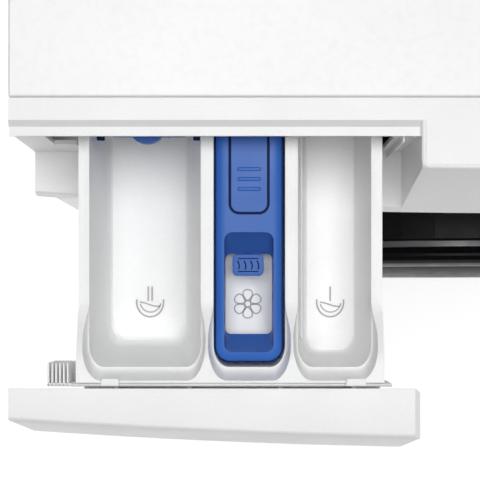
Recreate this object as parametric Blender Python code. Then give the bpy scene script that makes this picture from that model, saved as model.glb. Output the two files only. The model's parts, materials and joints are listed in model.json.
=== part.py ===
"""A front loading washing machine, built as separate pieces and drawn with its
detergent drawer pulled out.

Metres, Z up. The machine's front faces -Y, and left and right are as seen facing
the front, so right is +X. The floor is z = 0 and X = 0 is the middle of the
machine. Every rigid piece keeps a small gap to its neighbours.
"""

import math

import bmesh
import bpy
from mathutils import Matrix, Vector

# Overall sizes of a 60 cm machine.
WIDTH = 0.600
TOP_Z = 0.850
WORKTOP_DEPTH = 0.500
WORKTOP_THICK = 0.012
SEAM_Y = -0.15174
GAP = 0.0003

# Console (fascia): it bows out in plan and its foot leans forward.
FASCIA_HEIGHT = 0.1135
FASCIA_REACH = 0.0384
FASCIA_BOW = 0.115
FASCIA_LEAN = 0.017 / 0.1135
SHELL = 0.0025

# Recess in the fascia that the drawer's front closes.
RECESS_RIGHT_X = -0.0785
RECESS_BACK = 0.0185
RECESS_DEPTH = 0.100
LIP_REACH = 0.0203

# Detergent drawer, drawn pulled out by its travel.
DRAWER_TRAVEL = 0.143
DRAWER_PROUD = 0.0014
DRAWER_LEFT_X = -0.2998
DRAWER_RIGHT_X = -0.0795
DRAWER_FRONT_HEIGHT = 0.0985
TRAY_X = (-0.2651, -0.0975)
TRAY_RIM_Z = TOP_Z - 0.024
TRAY_SHOULDER_Z = TOP_Z - 0.0125
TRAY_FLOOR_Z = TRAY_RIM_Z - 0.060
TRAY_BOTTOM_Z = TRAY_FLOOR_Z - 0.0035
TRAY_FRONT_Y = SEAM_Y - 0.0103
POCKET_FRONT_Y = SEAM_Y - 0.0022
POCKET_BACK_Y = SEAM_Y + 0.150
LEFT_POCKET_X = (-0.2591, -0.1976)
SOFTENER_POCKET_X = (-0.1906, -0.1511)
RIGHT_POCKET_X = (-0.1441, -0.1037)
POCKET_RADIUS = 0.0095

# Cabinet sheets.
SHEET = 0.0015
SIDE_X = 0.2970
PANEL_Y = SEAM_Y - 0.0424
REAR_Y = SEAM_Y + 0.4760
BASE_Z = 0.020
BASE_TOP_Z = 0.055
FASCIA_FOOT_Z = TOP_Z - FASCIA_HEIGHT

# Door, tub and drum share one level axis.
AXIS_Z = 0.430
DOOR_RADIUS = 0.230
APERTURE_RADIUS = 0.185
HINGE_X = -0.2370
HINGE_Y = PANEL_Y - 0.030
TUB_RADIUS = 0.262
TUB_WALL = 0.006
TUB_FRONT_Y = PANEL_Y + 0.062
TUB_SPLIT_Y = 0.020
TUB_BACK_Y = 0.2210
DRUM_RADIUS = 0.2415
DRUM_WALL = 0.0015
DRUM_FRONT_Y = TUB_FRONT_Y + 0.012
DRUM_BACK_Y = 0.2020
SHAFT_RADIUS = 0.0125
PULLEY_Y = (0.2620, 0.2780)
PULLEY_RADIUS = 0.135
MOTOR_PULLEY_RADIUS = 0.0125
MOTOR_X = -0.060
MOTOR_Z = 0.108
MOTOR_RADIUS = 0.048
SPRING_X = 0.225
SPRING_Y = 0.1125
DAMPER_X = 0.200
DAMPER_Y = 0.050

# Drain side, at the machine's lower right corner.
FLAP_X = (0.145, 0.255)
FLAP_Z = (0.045, 0.135)
PUMP_X = 0.200
PUMP_Z = 0.092
SUMP_X = 0.190
SUMP_Y = -0.095
HOSE_X = -0.150
HOSE_Y = -0.040

# Controls on the fascia.
KNOB_X = 0.030
KNOB_RADIUS = 0.026
DISPLAY_X = (0.100, 0.190)
DISPLAY_Z = (0.785, 0.820)
START_X = 0.235
CONTROL_Z = 0.792
OPTION_X = (0.125, 0.165)
OPTION_Z = 0.766

AXIS_FRAMES = {
    "X": Matrix(((0, 0, 1), (1, 0, 0), (0, 1, 0))),
    "Y": Matrix(((1, 0, 0), (0, 0, 1), (0, -1, 0))),
    "Z": Matrix(((1, 0, 0), (0, 1, 0), (0, 0, 1))),
}


def clear_scene():
    for thing in list(bpy.data.objects):
        bpy.data.objects.remove(thing)


def to_object(name, shape):
    """Makes one object from a bmesh, with its faces turned outwards."""
    bmesh.ops.remove_doubles(shape, verts=shape.verts, dist=1e-6)
    bmesh.ops.recalc_face_normals(shape, faces=shape.faces)
    if shape.calc_volume(signed=True) < 0:
        bmesh.ops.reverse_faces(shape, faces=shape.faces)
    mesh = bpy.data.meshes.new(name)
    shape.to_mesh(mesh)
    shape.free()
    made = bpy.data.objects.new(name, mesh)
    bpy.context.scene.collection.objects.link(made)
    return made


def skin(name, loops, close=False):
    """A body through loops of equally many points: capped, or closed on itself."""
    shape = bmesh.new()
    rings = [[shape.verts.new(point) for point in loop] for loop in loops]
    count = len(rings[0])
    pairs = list(zip(rings, rings[1:]))
    if close:
        pairs.append((rings[-1], rings[0]))
    for first, second in pairs:
        for i in range(count):
            j = (i + 1) % count
            shape.faces.new((first[i], first[j], second[j], second[i]))
    if not close:
        shape.faces.new(rings[0])
        shape.faces.new(rings[-1])
    return to_object(name, shape)


def box(name, x, y, z, bevel=0.0):
    """A block between the given limits, with an optional bevel on its edges."""
    shape = bmesh.new()
    bmesh.ops.create_cube(shape, size=1.0)
    for vert in shape.verts:
        vert.co.x = x[0] if vert.co.x < 0 else x[1]
        vert.co.y = y[0] if vert.co.y < 0 else y[1]
        vert.co.z = z[0] if vert.co.z < 0 else z[1]
    if bevel:
        edges = list(shape.edges)
        bmesh.ops.bevel(shape, geom=edges, offset=bevel, segments=2, affect="EDGES", profile=0.5)
    return to_object(name, shape)


def prism(name, outline, axis, span):
    """Extrudes a flat outline of (a, b) points along X, Y or Z."""
    place = {
        "X": lambda a, b, t: (t, a, b),
        "Y": lambda a, b, t: (a, t, b),
        "Z": lambda a, b, t: (a, b, t),
    }[axis]
    return skin(name, [[place(a, b, t) for a, b in outline] for t in span])


def turned(name, profile, centre, direction, segments=40):
    """Turns a closed profile of (radius, height) points about an axis line.

    A profile that touches radius 0 at its first and last point makes a solid.
    """
    direction = Vector(direction).normalized()
    turn = Vector((0, 0, 1)).rotation_difference(direction).to_matrix().to_4x4()
    move = Matrix.Translation(Vector(centre)) @ turn
    shape = bmesh.new()
    solid = profile[0][0] == 0
    body = profile[1:-1] if solid else profile
    rings = []
    for radius, height in body:
        ring = []
        for i in range(segments):
            angle = 2 * math.pi * i / segments
            point = Vector((radius * math.cos(angle), radius * math.sin(angle), height))
            ring.append(shape.verts.new(move @ point))
        rings.append(ring)
    pairs = list(zip(rings, rings[1:]))
    if not solid:
        pairs.append((rings[-1], rings[0]))
    for first, second in pairs:
        for i in range(segments):
            j = (i + 1) % segments
            shape.faces.new((first[i], first[j], second[j], second[i]))
    if solid:
        for ring in (rings[0], rings[-1]):
            shape.faces.new(ring)
    return to_object(name, shape)


def rod(name, start, end, radius, segments=24):
    """A straight round bar."""
    start = Vector(start)
    along = Vector(end) - start
    length = along.length
    profile = [(0, 0), (radius, 0), (radius, length), (0, length)]
    return turned(name, profile, start, along, segments)


def sweep(name, points, radius, sides=12, close=False):
    """A round bar along a chain of points."""
    points = [Vector(point) for point in points]
    count = len(points)
    loops = []
    normal = None
    for i, point in enumerate(points):
        before = points[i - 1] if (close or i) else point
        after = points[(i + 1) % count] if (close or i < count - 1) else point
        tangent = (after - before).normalized()
        if normal is None:
            normal = tangent.orthogonal().normalized()
        normal = (normal - tangent * normal.dot(tangent)).normalized()
        side = tangent.cross(normal)
        loop = []
        for k in range(sides):
            angle = 2 * math.pi * k / sides
            loop.append(point + radius * (math.cos(angle) * normal + math.sin(angle) * side))
        loops.append(loop)
    return skin(name, loops, close)


def rounded(x, y, radius, steps=4):
    """Corner-rounded rectangle as (x, y) points, anticlockwise."""
    points = []
    corners = (
        (x[1] - radius, y[1] - radius, 0),
        (x[0] + radius, y[1] - radius, 90),
        (x[0] + radius, y[0] + radius, 180),
        (x[1] - radius, y[0] + radius, 270),
    )
    for cx, cy, start in corners:
        for i in range(steps + 1):
            angle = math.radians(start + 90 * i / steps)
            points.append((cx + radius * math.cos(angle), cy + radius * math.sin(angle)))
    return points


def grown(span, amount):
    return (span[0] - amount, span[1] + amount)


def combine(target, tools, operation):
    """Joins pieces to the target, or cuts them out of it, and removes them."""
    for tool in tools:
        modifier = target.modifiers.new(operation, "BOOLEAN")
        modifier.operation = operation
        modifier.solver = "EXACT"
        modifier.object = tool
    bpy.context.view_layer.update()
    graph = bpy.context.evaluated_depsgraph_get()
    mesh = bpy.data.meshes.new_from_object(target.evaluated_get(graph), depsgraph=graph)
    target.modifiers.clear()
    target.data = mesh
    for tool in tools:
        bpy.data.objects.remove(tool)
    return target


def cut(target, *tools):
    return combine(target, tools, "DIFFERENCE")


def join(target, *tools):
    return combine(target, tools, "UNION")


def shifted(target, dx=0.0, dy=0.0, dz=0.0):
    target.data.transform(Matrix.Translation(Vector((dx, dy, dz))))
    return target


def fascia_y(x, z, out=0.0):
    """Y of the fascia's face at a place, moved out towards the user by out."""
    down = TOP_Z - z
    return SEAM_Y - FASCIA_REACH + FASCIA_BOW * x * x - FASCIA_LEAN * down - out


def fascia_normal():
    return Vector((0, -1, FASCIA_LEAN)).normalized()


def stations(low, high, count):
    return [low + (high - low) * i / (count - 1) for i in range(count)]


def swept_section(name, xs, section):
    """A body whose flat section changes along X: section(x) gives (y, z) points."""
    return skin(name, [[(x, y, z) for y, z in section(x)] for x in xs])


# ---------------------------------------------------------------- cabinet


def build_cabinet():
    worktop_y = (SEAM_Y, SEAM_Y + WORKTOP_DEPTH)
    half = WIDTH / 2
    box("worktop", (-half, half), worktop_y, (TOP_Z - WORKTOP_THICK, TOP_Z), 0.0012)
    for name, side in (("left_side_panel", -1), ("right_side_panel", 1)):
        build_side_panel(name, side)
    build_rear()
    build_front_panel()
    build_base()
    beam_x = (-SIDE_X + 0.0030, SIDE_X - 0.0030)
    beam = box("cross_beam", beam_x, (0.092, 0.133), (0.8120, 0.8360))
    cut(beam, box("beam_channel", grown(beam_x, 0.01), (0.0935, 0.1315), (0.8135, 0.8500)))


def build_side_panel(name, side):
    """A sheet side with a bead down its middle and inward flanges front and back."""
    outer = side * SIDE_X
    inner = side * (SIDE_X - SHEET)
    lip = side * (SIDE_X - 0.018)
    front = PANEL_Y + 0.0230
    back = REAR_Y - GAP
    top = TOP_Z - WORKTOP_THICK - 0.0005
    outline = [
        (outer, front),
        (outer, back),
        (lip, back),
        (lip, back - SHEET),
        (inner, back - SHEET),
        (inner, front),
    ]
    panel = prism(name, outline, "Z", (BASE_Z, top))
    corner = box(
        "corner",
        (min(outer, lip) - 0.01, max(outer, lip) + 0.01),
        (front - 0.01, SEAM_Y + 0.0005),
        (FASCIA_FOOT_Z - 0.0005, TOP_Z),
    )
    cut(panel, corner)


def build_rear():
    wide = SIDE_X - 0.0005
    top = TOP_Z - WORKTOP_THICK - 0.0005
    panel = box("rear_panel", (-wide, wide), (REAR_Y, REAR_Y + SHEET), (BASE_Z, top))
    hole = rounded((-0.170, 0.170), (0.130, 0.600), 0.040)
    cut(
        panel,
        prism("service_hole", hole, "Y", (REAR_Y - 0.01, REAR_Y + 0.01)),
        rod("valve_hole", (0.205, REAR_Y - 0.01, 0.790), (0.205, REAR_Y + 0.01, 0.790), 0.0145),
        rod("hose_hole", (-0.205, REAR_Y - 0.01, 0.790), (-0.205, REAR_Y + 0.01, 0.790), 0.0125),
    )
    foot = REAR_Y + SHEET + GAP
    loops = []
    for grow, y in (
        (0.020, foot), (0.020, foot + 0.0015), (0.004, foot + 0.010),
        (-0.004, foot + 0.011),
    ):
        outline = rounded(grown((-0.170, 0.170), grow), grown((0.130, 0.600), grow), 0.040 + grow)
        loops.append([(x, y, z) for x, z in outline])
    cover = skin("rear_cover", loops)
    loops = []
    for grow, y in ((0.0015, foot - 0.001), (0.0015, foot + 0.0085), (-0.006, foot + 0.0095)):
        outline = rounded(grown((-0.170, 0.170), grow), grown((0.130, 0.600), grow), 0.040 + grow)
        loops.append([(x, y, z) for x, z in outline])
    cut(cover, skin("cover_hollow", loops))


def build_front_panel():
    """The front sheet, with side returns, the dished door aperture and the flap hole."""
    wide = SIDE_X
    inner = SIDE_X - SHEET
    turn = 0.0040
    outline = [
        (-wide, PANEL_Y + 0.0225),
        (-wide, PANEL_Y + turn),
        (-wide + 0.3 * turn, PANEL_Y + 0.3 * turn),
        (-wide + turn, PANEL_Y),
        (wide - turn, PANEL_Y),
        (wide - 0.3 * turn, PANEL_Y + 0.3 * turn),
        (wide, PANEL_Y + turn),
        (wide, PANEL_Y + 0.0225),
        (inner, PANEL_Y + 0.0225),
        (inner, PANEL_Y + turn),
        (inner - turn + SHEET, PANEL_Y + SHEET),
        (-inner + turn - SHEET, PANEL_Y + SHEET),
        (-inner, PANEL_Y + turn),
        (-inner, PANEL_Y + 0.0225),
    ]
    panel = prism("front_panel", outline, "Z", (BASE_Z, FASCIA_FOOT_Z - 0.0005))
    rim = APERTURE_RADIUS
    collar = turned(
        "aperture_collar",
        [
            (rim, 0.0005), (rim + 0.010, 0.0005), (rim + 0.010, 0.0030),
            (rim + 0.0015, 0.0030), (rim + 0.0015, 0.012), (rim, 0.012),
        ],
        (0, PANEL_Y, AXIS_Z),
        (0, 1, 0),
        64,
    )
    hole = turned(
        "aperture",
        [(0, -0.01), (rim + 0.004, -0.01), (rim + 0.004, 0.02), (0, 0.02)],
        (0, PANEL_Y, AXIS_Z),
        (0, 1, 0),
        64,
    )
    slot_y = (PANEL_Y - 0.01, PANEL_Y + 0.01)
    cut(
        panel,
        hole,
        box("flap_hole", FLAP_X, slot_y, FLAP_Z),
        box("hook_slot", (0.2010, 0.2140), slot_y, (AXIS_Z - 0.016, AXIS_Z + 0.016)),
    )
    join(panel, collar)
    box(
        "filter_flap",
        grown(FLAP_X, -0.0006),
        (PANEL_Y, PANEL_Y + 0.0025),
        grown(FLAP_Z, -0.0006),
        0.0004,
    )


def build_base():
    x = (-SIDE_X + 0.0025, SIDE_X - 0.0025)
    y = (PANEL_Y + 0.0030, REAR_Y - 0.0030)
    z = (BASE_Z, BASE_TOP_Z)
    rail = 0.034
    frame = box("base_frame", x, y, z)
    deep = (BASE_Z - 0.01, BASE_TOP_Z + 0.01)
    cut(frame, box("base_opening", grown(x, -rail), grown(y, -rail), deep))
    mid = (DAMPER_Y - 0.030, DAMPER_Y + 0.030)
    inner_x = x[1] - rail
    join(
        frame,
        box("left_plate", (-inner_x - 0.005, -0.165), mid, (BASE_Z, BASE_TOP_Z)),
        box("right_plate", (0.165, inner_x + 0.005), mid, (BASE_Z, BASE_TOP_Z)),
        box(
            "pump_plate",
            (0.150, inner_x + 0.005),
            (PANEL_Y + 0.030, PANEL_Y + 0.115),
            (BASE_Z, 0.048),
        ),
    )
    feet = (
        ("foot_front_left", -1, y[0] + rail / 2),
        ("foot_front_right", 1, y[0] + rail / 2),
        ("foot_rear_left", -1, y[1] - rail / 2),
        ("foot_rear_right", 1, y[1] - rail / 2),
    )
    holes = []
    for name, side, foot_y in feet:
        foot_x = side * (x[1] - rail / 2)
        holes.append(rod(name + "_hole", (foot_x, foot_y, 0), (foot_x, foot_y, 0.1), 0.0045, 16))
        profile = [
            (0, 0),
            (0.0200, 0),
            (0.0205, 0.0060),
            (0.0120, 0.0110),
            (0.0075, 0.0120),
            (0.0075, 0.0190),
            (0.0040, 0.0190),
            (0.0040, 0.0500),
            (0, 0.0500),
        ]
        turned(name, profile, (foot_x, foot_y, 0), (0, 0, 1), 16)
    cut(frame, *holes)


# ---------------------------------------------------------------- console


def console_section(x):
    """The fascia's shell right of the drawer recess."""
    z0 = FASCIA_FOOT_Z
    back = SEAM_Y - 0.0003
    foot = SEAM_Y - 0.030
    t = SHELL
    return [
        (back, TOP_Z),
        (fascia_y(x, TOP_Z) + 0.0018, TOP_Z),
        (fascia_y(x, TOP_Z - 0.0006) + 0.0006, TOP_Z - 0.0006),
        (fascia_y(x, TOP_Z - 0.0020), TOP_Z - 0.0020),
        (fascia_y(x, z0 + 0.0030), z0 + 0.0030),
        (fascia_y(x, z0 + 0.0008) + 0.0008, z0 + 0.0008),
        (fascia_y(x, z0) + 0.0030, z0),
        (foot, z0),
        (foot, z0 + t),
        (fascia_y(x, z0 + t) + t, z0 + t),
        (fascia_y(x, TOP_Z - t) + t, TOP_Z - t),
        (back, TOP_Z - t),
    ]


def recess_section(x):
    """The fascia's shell behind and under the drawer's front."""
    z0 = FASCIA_FOOT_Z
    ledge = TOP_Z - RECESS_DEPTH
    back = SEAM_Y - 0.0003
    foot = SEAM_Y - 0.030
    wall = SEAM_Y - RECESS_BACK
    lip = SEAM_Y - LIP_REACH
    t = SHELL
    return [
        (back, TOP_Z),
        (SEAM_Y - 0.0123, TOP_Z),
        (SEAM_Y - 0.0155, TOP_Z - 0.0035),
        (lip, TOP_Z - 0.0040),
        (lip, TOP_Z - 0.0065),
        (wall, TOP_Z - 0.0065),
        (wall, ledge),
        (fascia_y(x, ledge) + 0.0010, ledge),
        (fascia_y(x, ledge - 0.0010), ledge - 0.0010),
        (fascia_y(x, z0 + 0.0030), z0 + 0.0030),
        (fascia_y(x, z0) + 0.0030, z0),
        (foot, z0),
        (foot, z0 + t),
        (fascia_y(x, z0 + t) + t, z0 + t),
        (fascia_y(x, ledge - t) + t, ledge - t),
        (wall + t, ledge - t),
        (wall + t, TOP_Z - 0.0070),
        (SEAM_Y - 0.0118, TOP_Z - 0.0030),
        (back, TOP_Z - 0.0030),
    ]


def closed_section(section, x):
    """The same outline filled back to the seam, for an end wall."""
    outline = section(x)
    outer = outline[: 7 if section is console_section else 11]
    return outer + [(SEAM_Y - 0.0003, FASCIA_FOOT_Z)]


def end_wall(name, section, span):
    return swept_section(name, span, lambda x: closed_section(section, x))


def build_console():
    half = WIDTH / 2
    split = RECESS_RIGHT_X
    fascia = swept_section("fascia", stations(split, half, 13), console_section)
    join(
        fascia,
        swept_section("recess", stations(-half, split + 0.001, 9), recess_section),
        end_wall("left_end", recess_section, (-half, -half + SHELL)),
        end_wall("right_end", console_section, (half - SHELL, half)),
        end_wall("recess_end", console_section, (split, split + SHELL)),
    )
    wall = SEAM_Y - RECESS_BACK
    through = (wall - 0.001, wall + SHELL + 0.001)
    face = (SEAM_Y - 0.080, SEAM_Y - 0.012)
    normal = fascia_normal()
    holes = [
        box("tray_hole", (-0.2700, -0.0910), through, (TOP_Z - 0.0960, TOP_Z - 0.0085)),
        box("guide_hole", (-0.2830, -0.2650), through, (TOP_Z - 0.0600, TOP_Z - 0.0120)),
        box("display_hole", grown(DISPLAY_X, 0.0004), face, grown(DISPLAY_Z, 0.0004)),
    ]
    for x, z, radius in controls():
        centre = Vector((x, fascia_y(x, z), z))
        holes.append(
            rod("control_hole", centre + 0.03 * normal, centre - 0.012 * normal, radius + 0.0006)
        )
    cut(fascia, *holes)
    build_controls()


def controls():
    """Place and radius of each knob shaft or button that passes the fascia."""
    found = [(KNOB_X, CONTROL_Z, 0.0050), (START_X, CONTROL_Z, 0.0095)]
    for x in OPTION_X:
        found.append((x, OPTION_Z, 0.0050))
    return found


def build_controls():
    normal = fascia_normal()
    lean = math.atan(FASCIA_LEAN)
    z_mid = sum(DISPLAY_Z) / 2
    x_mid = sum(DISPLAY_X) / 2
    half_w = (DISPLAY_X[1] - DISPLAY_X[0]) / 2
    half_h = (DISPLAY_Z[1] - DISPLAY_Z[0]) / 2
    section_xs = stations(DISPLAY_X[0], DISPLAY_X[1], 4)

    def window_section(x):
        low = z_mid - half_h
        high = z_mid + half_h
        return [
            (fascia_y(x, high), high),
            (fascia_y(x, low), low),
            (fascia_y(x, low) + 0.0020, low),
            (fascia_y(x, high) + 0.0020, high),
        ]

    swept_section("display_window", section_xs, window_section)
    centre = Vector((KNOB_X, fascia_y(KNOB_X, CONTROL_Z), CONTROL_Z))
    knob = [
        (0, -0.0090),
        (0.0044, -0.0090),
        (0.0044, 0.0012),
        (KNOB_RADIUS, 0.0012),
        (KNOB_RADIUS - 0.0006, 0.0130),
        (KNOB_RADIUS - 0.0030, 0.0155),
        (0.0100, 0.0160),
        (0, 0.0160),
    ]
    turned("program_knob", knob, centre, normal, 40)
    buttons = [("start_button", START_X, CONTROL_Z, 0.0095)]
    for number, x in enumerate(OPTION_X, 1):
        buttons.append((f"option_button_{number}", x, OPTION_Z, 0.0050))
    for name, x, z, radius in buttons:
        centre = Vector((x, fascia_y(x, z), z))
        profile = [
            (0, -0.0075),
            (radius, -0.0075),
            (radius, 0.0017),
            (radius - 0.0008, 0.0025),
            (0, 0.0025),
        ]
        turned(name, profile, centre, normal, 24)
    board_y = SEAM_Y - 0.0235
    board = box("control_board", (0.080, 0.262), (board_y, board_y + 0.0020), (0.752, 0.838))
    join(
        board,
        box("chip_1", (0.100, 0.140), (board_y + 0.001, board_y + 0.0100), (0.760, 0.790)),
        box("chip_2", (0.165, 0.195), (board_y + 0.001, board_y + 0.0140), (0.765, 0.800)),
        box("chip_3", (0.215, 0.245), (board_y + 0.001, board_y + 0.0080), (0.770, 0.830)),
    )


# ---------------------------------------------------------------- drawer


def pocket(name, x, back_trim=0.0):
    """The space inside one compartment, wide at the rim and narrow at the floor."""
    y = (POCKET_FRONT_Y, POCKET_BACK_Y - back_trim)
    steps = (
        (-0.0004, TRAY_RIM_Z + 0.030),
        (0.0, TRAY_RIM_Z),
        (0.0040, TRAY_FLOOR_Z + 0.016),
        (0.0060, TRAY_FLOOR_Z + 0.006),
        (0.0100, TRAY_FLOOR_Z),
    )
    loops = []
    for inset, z in steps:
        outline = rounded(grown(x, -inset), grown(y, -1.4 * inset), POCKET_RADIUS)
        loops.append([(px, py, z) for px, py in outline])
    return skin(name, loops)


def drawer_section(x):
    """The drawer front's shell: its top plate, its leaning face and a foot return."""
    t = SHELL
    foot = TOP_Z - DRAWER_FRONT_HEIGHT
    out = DRAWER_PROUD
    return [
        (SEAM_Y - 0.0126, TOP_Z),
        (fascia_y(x, TOP_Z, out) + 0.0018, TOP_Z),
        (fascia_y(x, TOP_Z - 0.0006, out) + 0.0006, TOP_Z - 0.0006),
        (fascia_y(x, TOP_Z - 0.0020, out), TOP_Z - 0.0020),
        (fascia_y(x, foot + 0.0020, out), foot + 0.0020),
        (fascia_y(x, foot, out) + 0.0020, foot),
        (fascia_y(x, foot, out) + 0.0100, foot),
        (fascia_y(x, foot, out) + 0.0100, foot + t),
        (fascia_y(x, foot + t, out) + t, foot + t),
        (fascia_y(x, TOP_Z - t, out) + t, TOP_Z - t),
        (SEAM_Y - 0.0152, TOP_Z - t),
    ]


def drawer_end_section(x):
    """A side wall of the drawer's front, its lower back corner rounded off."""
    foot = TOP_Z - DRAWER_FRONT_HEIGHT
    back = SEAM_Y - 0.0213
    outer = drawer_section(x)[:6]
    return outer + [
        (back - 0.0100, foot),
        (back - 0.0030, foot + 0.0030),
        (back, foot + 0.0100),
        (back, TOP_Z - 0.0036),
        (SEAM_Y - 0.0158, TOP_Z - 0.0030),
    ]


def build_drawer():
    made = [
        build_drawer_front(),
        build_drawer_carrier(),
        build_tray(),
        build_softener_insert(),
        build_detergent_flap(),
    ]
    for piece in made:
        shifted(piece, dy=-DRAWER_TRAVEL)
    build_dispenser_housing()


def build_drawer_front():
    left = DRAWER_LEFT_X
    right = DRAWER_RIGHT_X
    front = swept_section("drawer_front", stations(left, right, 9), drawer_section)
    return join(
        front,
        swept_section("left_wing", (left, left + SHELL), drawer_end_section),
        swept_section("right_wing", (right - SHELL, right), drawer_end_section),
    )


def build_drawer_carrier():
    """The plate that joins the drawer's front to the tray, with its catches."""
    y = (SEAM_Y - 0.0123, SEAM_Y - 0.0106)
    plate = box("drawer_carrier", (-0.2677, -0.0935), y, (TOP_Z - 0.0900, TOP_Z - 0.0125))
    arm_y = (SEAM_Y - 0.0290, SEAM_Y - 0.0115)
    pieces = []
    for x in (-0.2450, -0.2050, -0.1550, -0.1150):
        pieces.append(box("rib", (x, x + 0.0025), arm_y, (TOP_Z - 0.0850, TOP_Z - 0.0200)))
    pieces.append(box("shelf", (-0.2650, -0.0960), arm_y, (TOP_Z - 0.0560, TOP_Z - 0.0535)))
    for x in ((-0.2517, -0.2411), (-0.1190, -0.1072)):
        catch = (TOP_Z - 0.0128, TOP_Z - 0.0100)
        pieces.append(
            box("catch", x, (SEAM_Y - 0.0122, SEAM_Y - 0.0078), (TOP_Z - 0.0119, catch[1]))
        )
        pieces.append(box("catch_foot", x, (SEAM_Y - 0.0122, SEAM_Y - 0.0107), catch))
    guide_z = (TOP_Z - 0.0500, TOP_Z - 0.0150)
    pieces.append(box("guide_web", (-0.2809, -0.2670), (SEAM_Y - 0.0123, SEAM_Y - 0.0106), guide_z))
    for i in range(5):
        x = -0.2809 + 0.0024 * i
        pieces.append(
            box("guide_rib", (x, x + 0.0012), (SEAM_Y - 0.0121, SEAM_Y + 0.0005), guide_z)
        )
    return join(plate, *pieces)


def build_tray():
    x = TRAY_X
    y = (TRAY_FRONT_Y, POCKET_BACK_Y + 0.0040)
    loops = []
    for inset, z in ((0.0040, TRAY_BOTTOM_Z), (0.0015, TRAY_BOTTOM_Z + 0.0100), (0.0, TRAY_RIM_Z)):
        outline = rounded(grown(x, -inset), grown(y, -inset), 0.0030)
        loops.append([(px, py, z) for px, py in outline])
    tray = skin("drawer_tray", loops)
    shoulder = [
        (TRAY_FRONT_Y, TRAY_RIM_Z - 0.010),
        (TRAY_FRONT_Y, TRAY_SHOULDER_Z),
        (TRAY_FRONT_Y + 0.0100, TRAY_SHOULDER_Z),
        (TRAY_FRONT_Y + 0.0300, TRAY_RIM_Z + 0.0040),
        (TRAY_FRONT_Y + 0.0480, TRAY_RIM_Z),
        (TRAY_FRONT_Y + 0.0480, TRAY_RIM_Z - 0.010),
    ]
    join(tray, prism("shoulder", shoulder, "X", (x[0] + 0.0002, x[1] - 0.0002)))
    rails = []
    for rail_x in ((x[0], x[0] + 0.0045), (x[1] - 0.0045, x[1])):
        rails.append(
            box(
                "rail",
                rail_x,
                (POCKET_BACK_Y, SEAM_Y + 0.1950),
                (TRAY_RIM_Z - 0.0300, TRAY_RIM_Z - 0.0100),
            )
        )
    join(tray, *rails)
    outlets = []
    for outlet_x in ((-0.2420, -0.2160), (-0.1360, -0.1120)):
        y_out = (POCKET_BACK_Y - 0.030, POCKET_BACK_Y + 0.020)
        outlets.append(box("outlet", outlet_x, y_out, (TRAY_FLOOR_Z, TRAY_FLOOR_Z + 0.014)))
    return cut(
        tray,
        pocket("left_pocket", LEFT_POCKET_X),
        pocket("softener_pocket", SOFTENER_POCKET_X),
        pocket("right_pocket", RIGHT_POCKET_X),
        *outlets,
    )


def build_softener_insert():
    """The blue siphon lid, with a funnel window near its front."""
    x = grown(SOFTENER_POCKET_X, -0.0005)
    y = (POCKET_FRONT_Y + 0.0028, POCKET_BACK_Y - 0.0010)
    top = TRAY_RIM_Z + 0.0008
    loops = []
    for inset, z in (
        (0.0022, top - 0.0180), (0.0010, top - 0.0060), (0.0, top - 0.0008), (0.0008, top),
    ):
        outline = rounded(grown(x, -inset), grown(y, -inset), 0.0075)
        loops.append([(px, py, z) for px, py in outline])
    insert = skin("softener_insert", loops)
    window_x = (-0.1846, -0.1572)
    window_y = (SEAM_Y + 0.0065, SEAM_Y + 0.0700)
    low = top - 0.0200
    loops = []
    for inset_f, inset_b, inset_x, z in ((0.010, 0.013, 0.0008, low), (0.0, 0.0, 0.0, top + 0.001)):
        span = (window_y[0] + inset_f, window_y[1] - inset_b)
        outline = rounded(grown(window_x, -inset_x), span, 0.0040)
        loops.append([(px, py, z) for px, py in outline])
    cut(insert, skin("funnel", loops))
    hollow_x = grown(x, -0.0042)
    cut(
        insert,
        box(
            "under",
            hollow_x,
            (SEAM_Y + 0.0760, POCKET_BACK_Y - 0.0060),
            (low - 0.001, top - 0.0035),
        ),
    )
    join(
        insert,
        rod(
            "siphon",
            (-0.1709, SEAM_Y + 0.1150, TRAY_FLOOR_Z + 0.004),
            (-0.1709, SEAM_Y + 0.1150, top - 0.002),
            0.0070,
        ),
    )
    tab = box(
        "tab",
        (-0.1797, -0.1630),
        (SEAM_Y + 0.0470, SEAM_Y + 0.0660),
        (top - 0.0110, top - 0.0085),
    )
    pad = box(
        "pad",
        (-0.1816, -0.1612),
        (SEAM_Y + 0.0810, POCKET_BACK_Y - 0.0050),
        (top - 0.0010, top + 0.0014),
        0.0006,
    )
    return join(insert, tab, pad)


def build_detergent_flap():
    """A blue plate hung near the back of the main wash compartment."""
    y = SEAM_Y + 0.1290
    outline = [
        (-0.2555, TRAY_RIM_Z - 0.0010),
        (-0.2370, TRAY_RIM_Z - 0.0010),
        (-0.2345, TRAY_RIM_Z + 0.0030),
        (-0.2220, TRAY_RIM_Z + 0.0030),
        (-0.2195, TRAY_RIM_Z - 0.0010),
        (-0.2012, TRAY_RIM_Z - 0.0010),
        (-0.2070, TRAY_FLOOR_Z + 0.0190),
        (-0.2497, TRAY_FLOOR_Z + 0.0190),
    ]
    return prism("detergent_flap", outline, "Y", (y, y + 0.0020))


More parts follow.
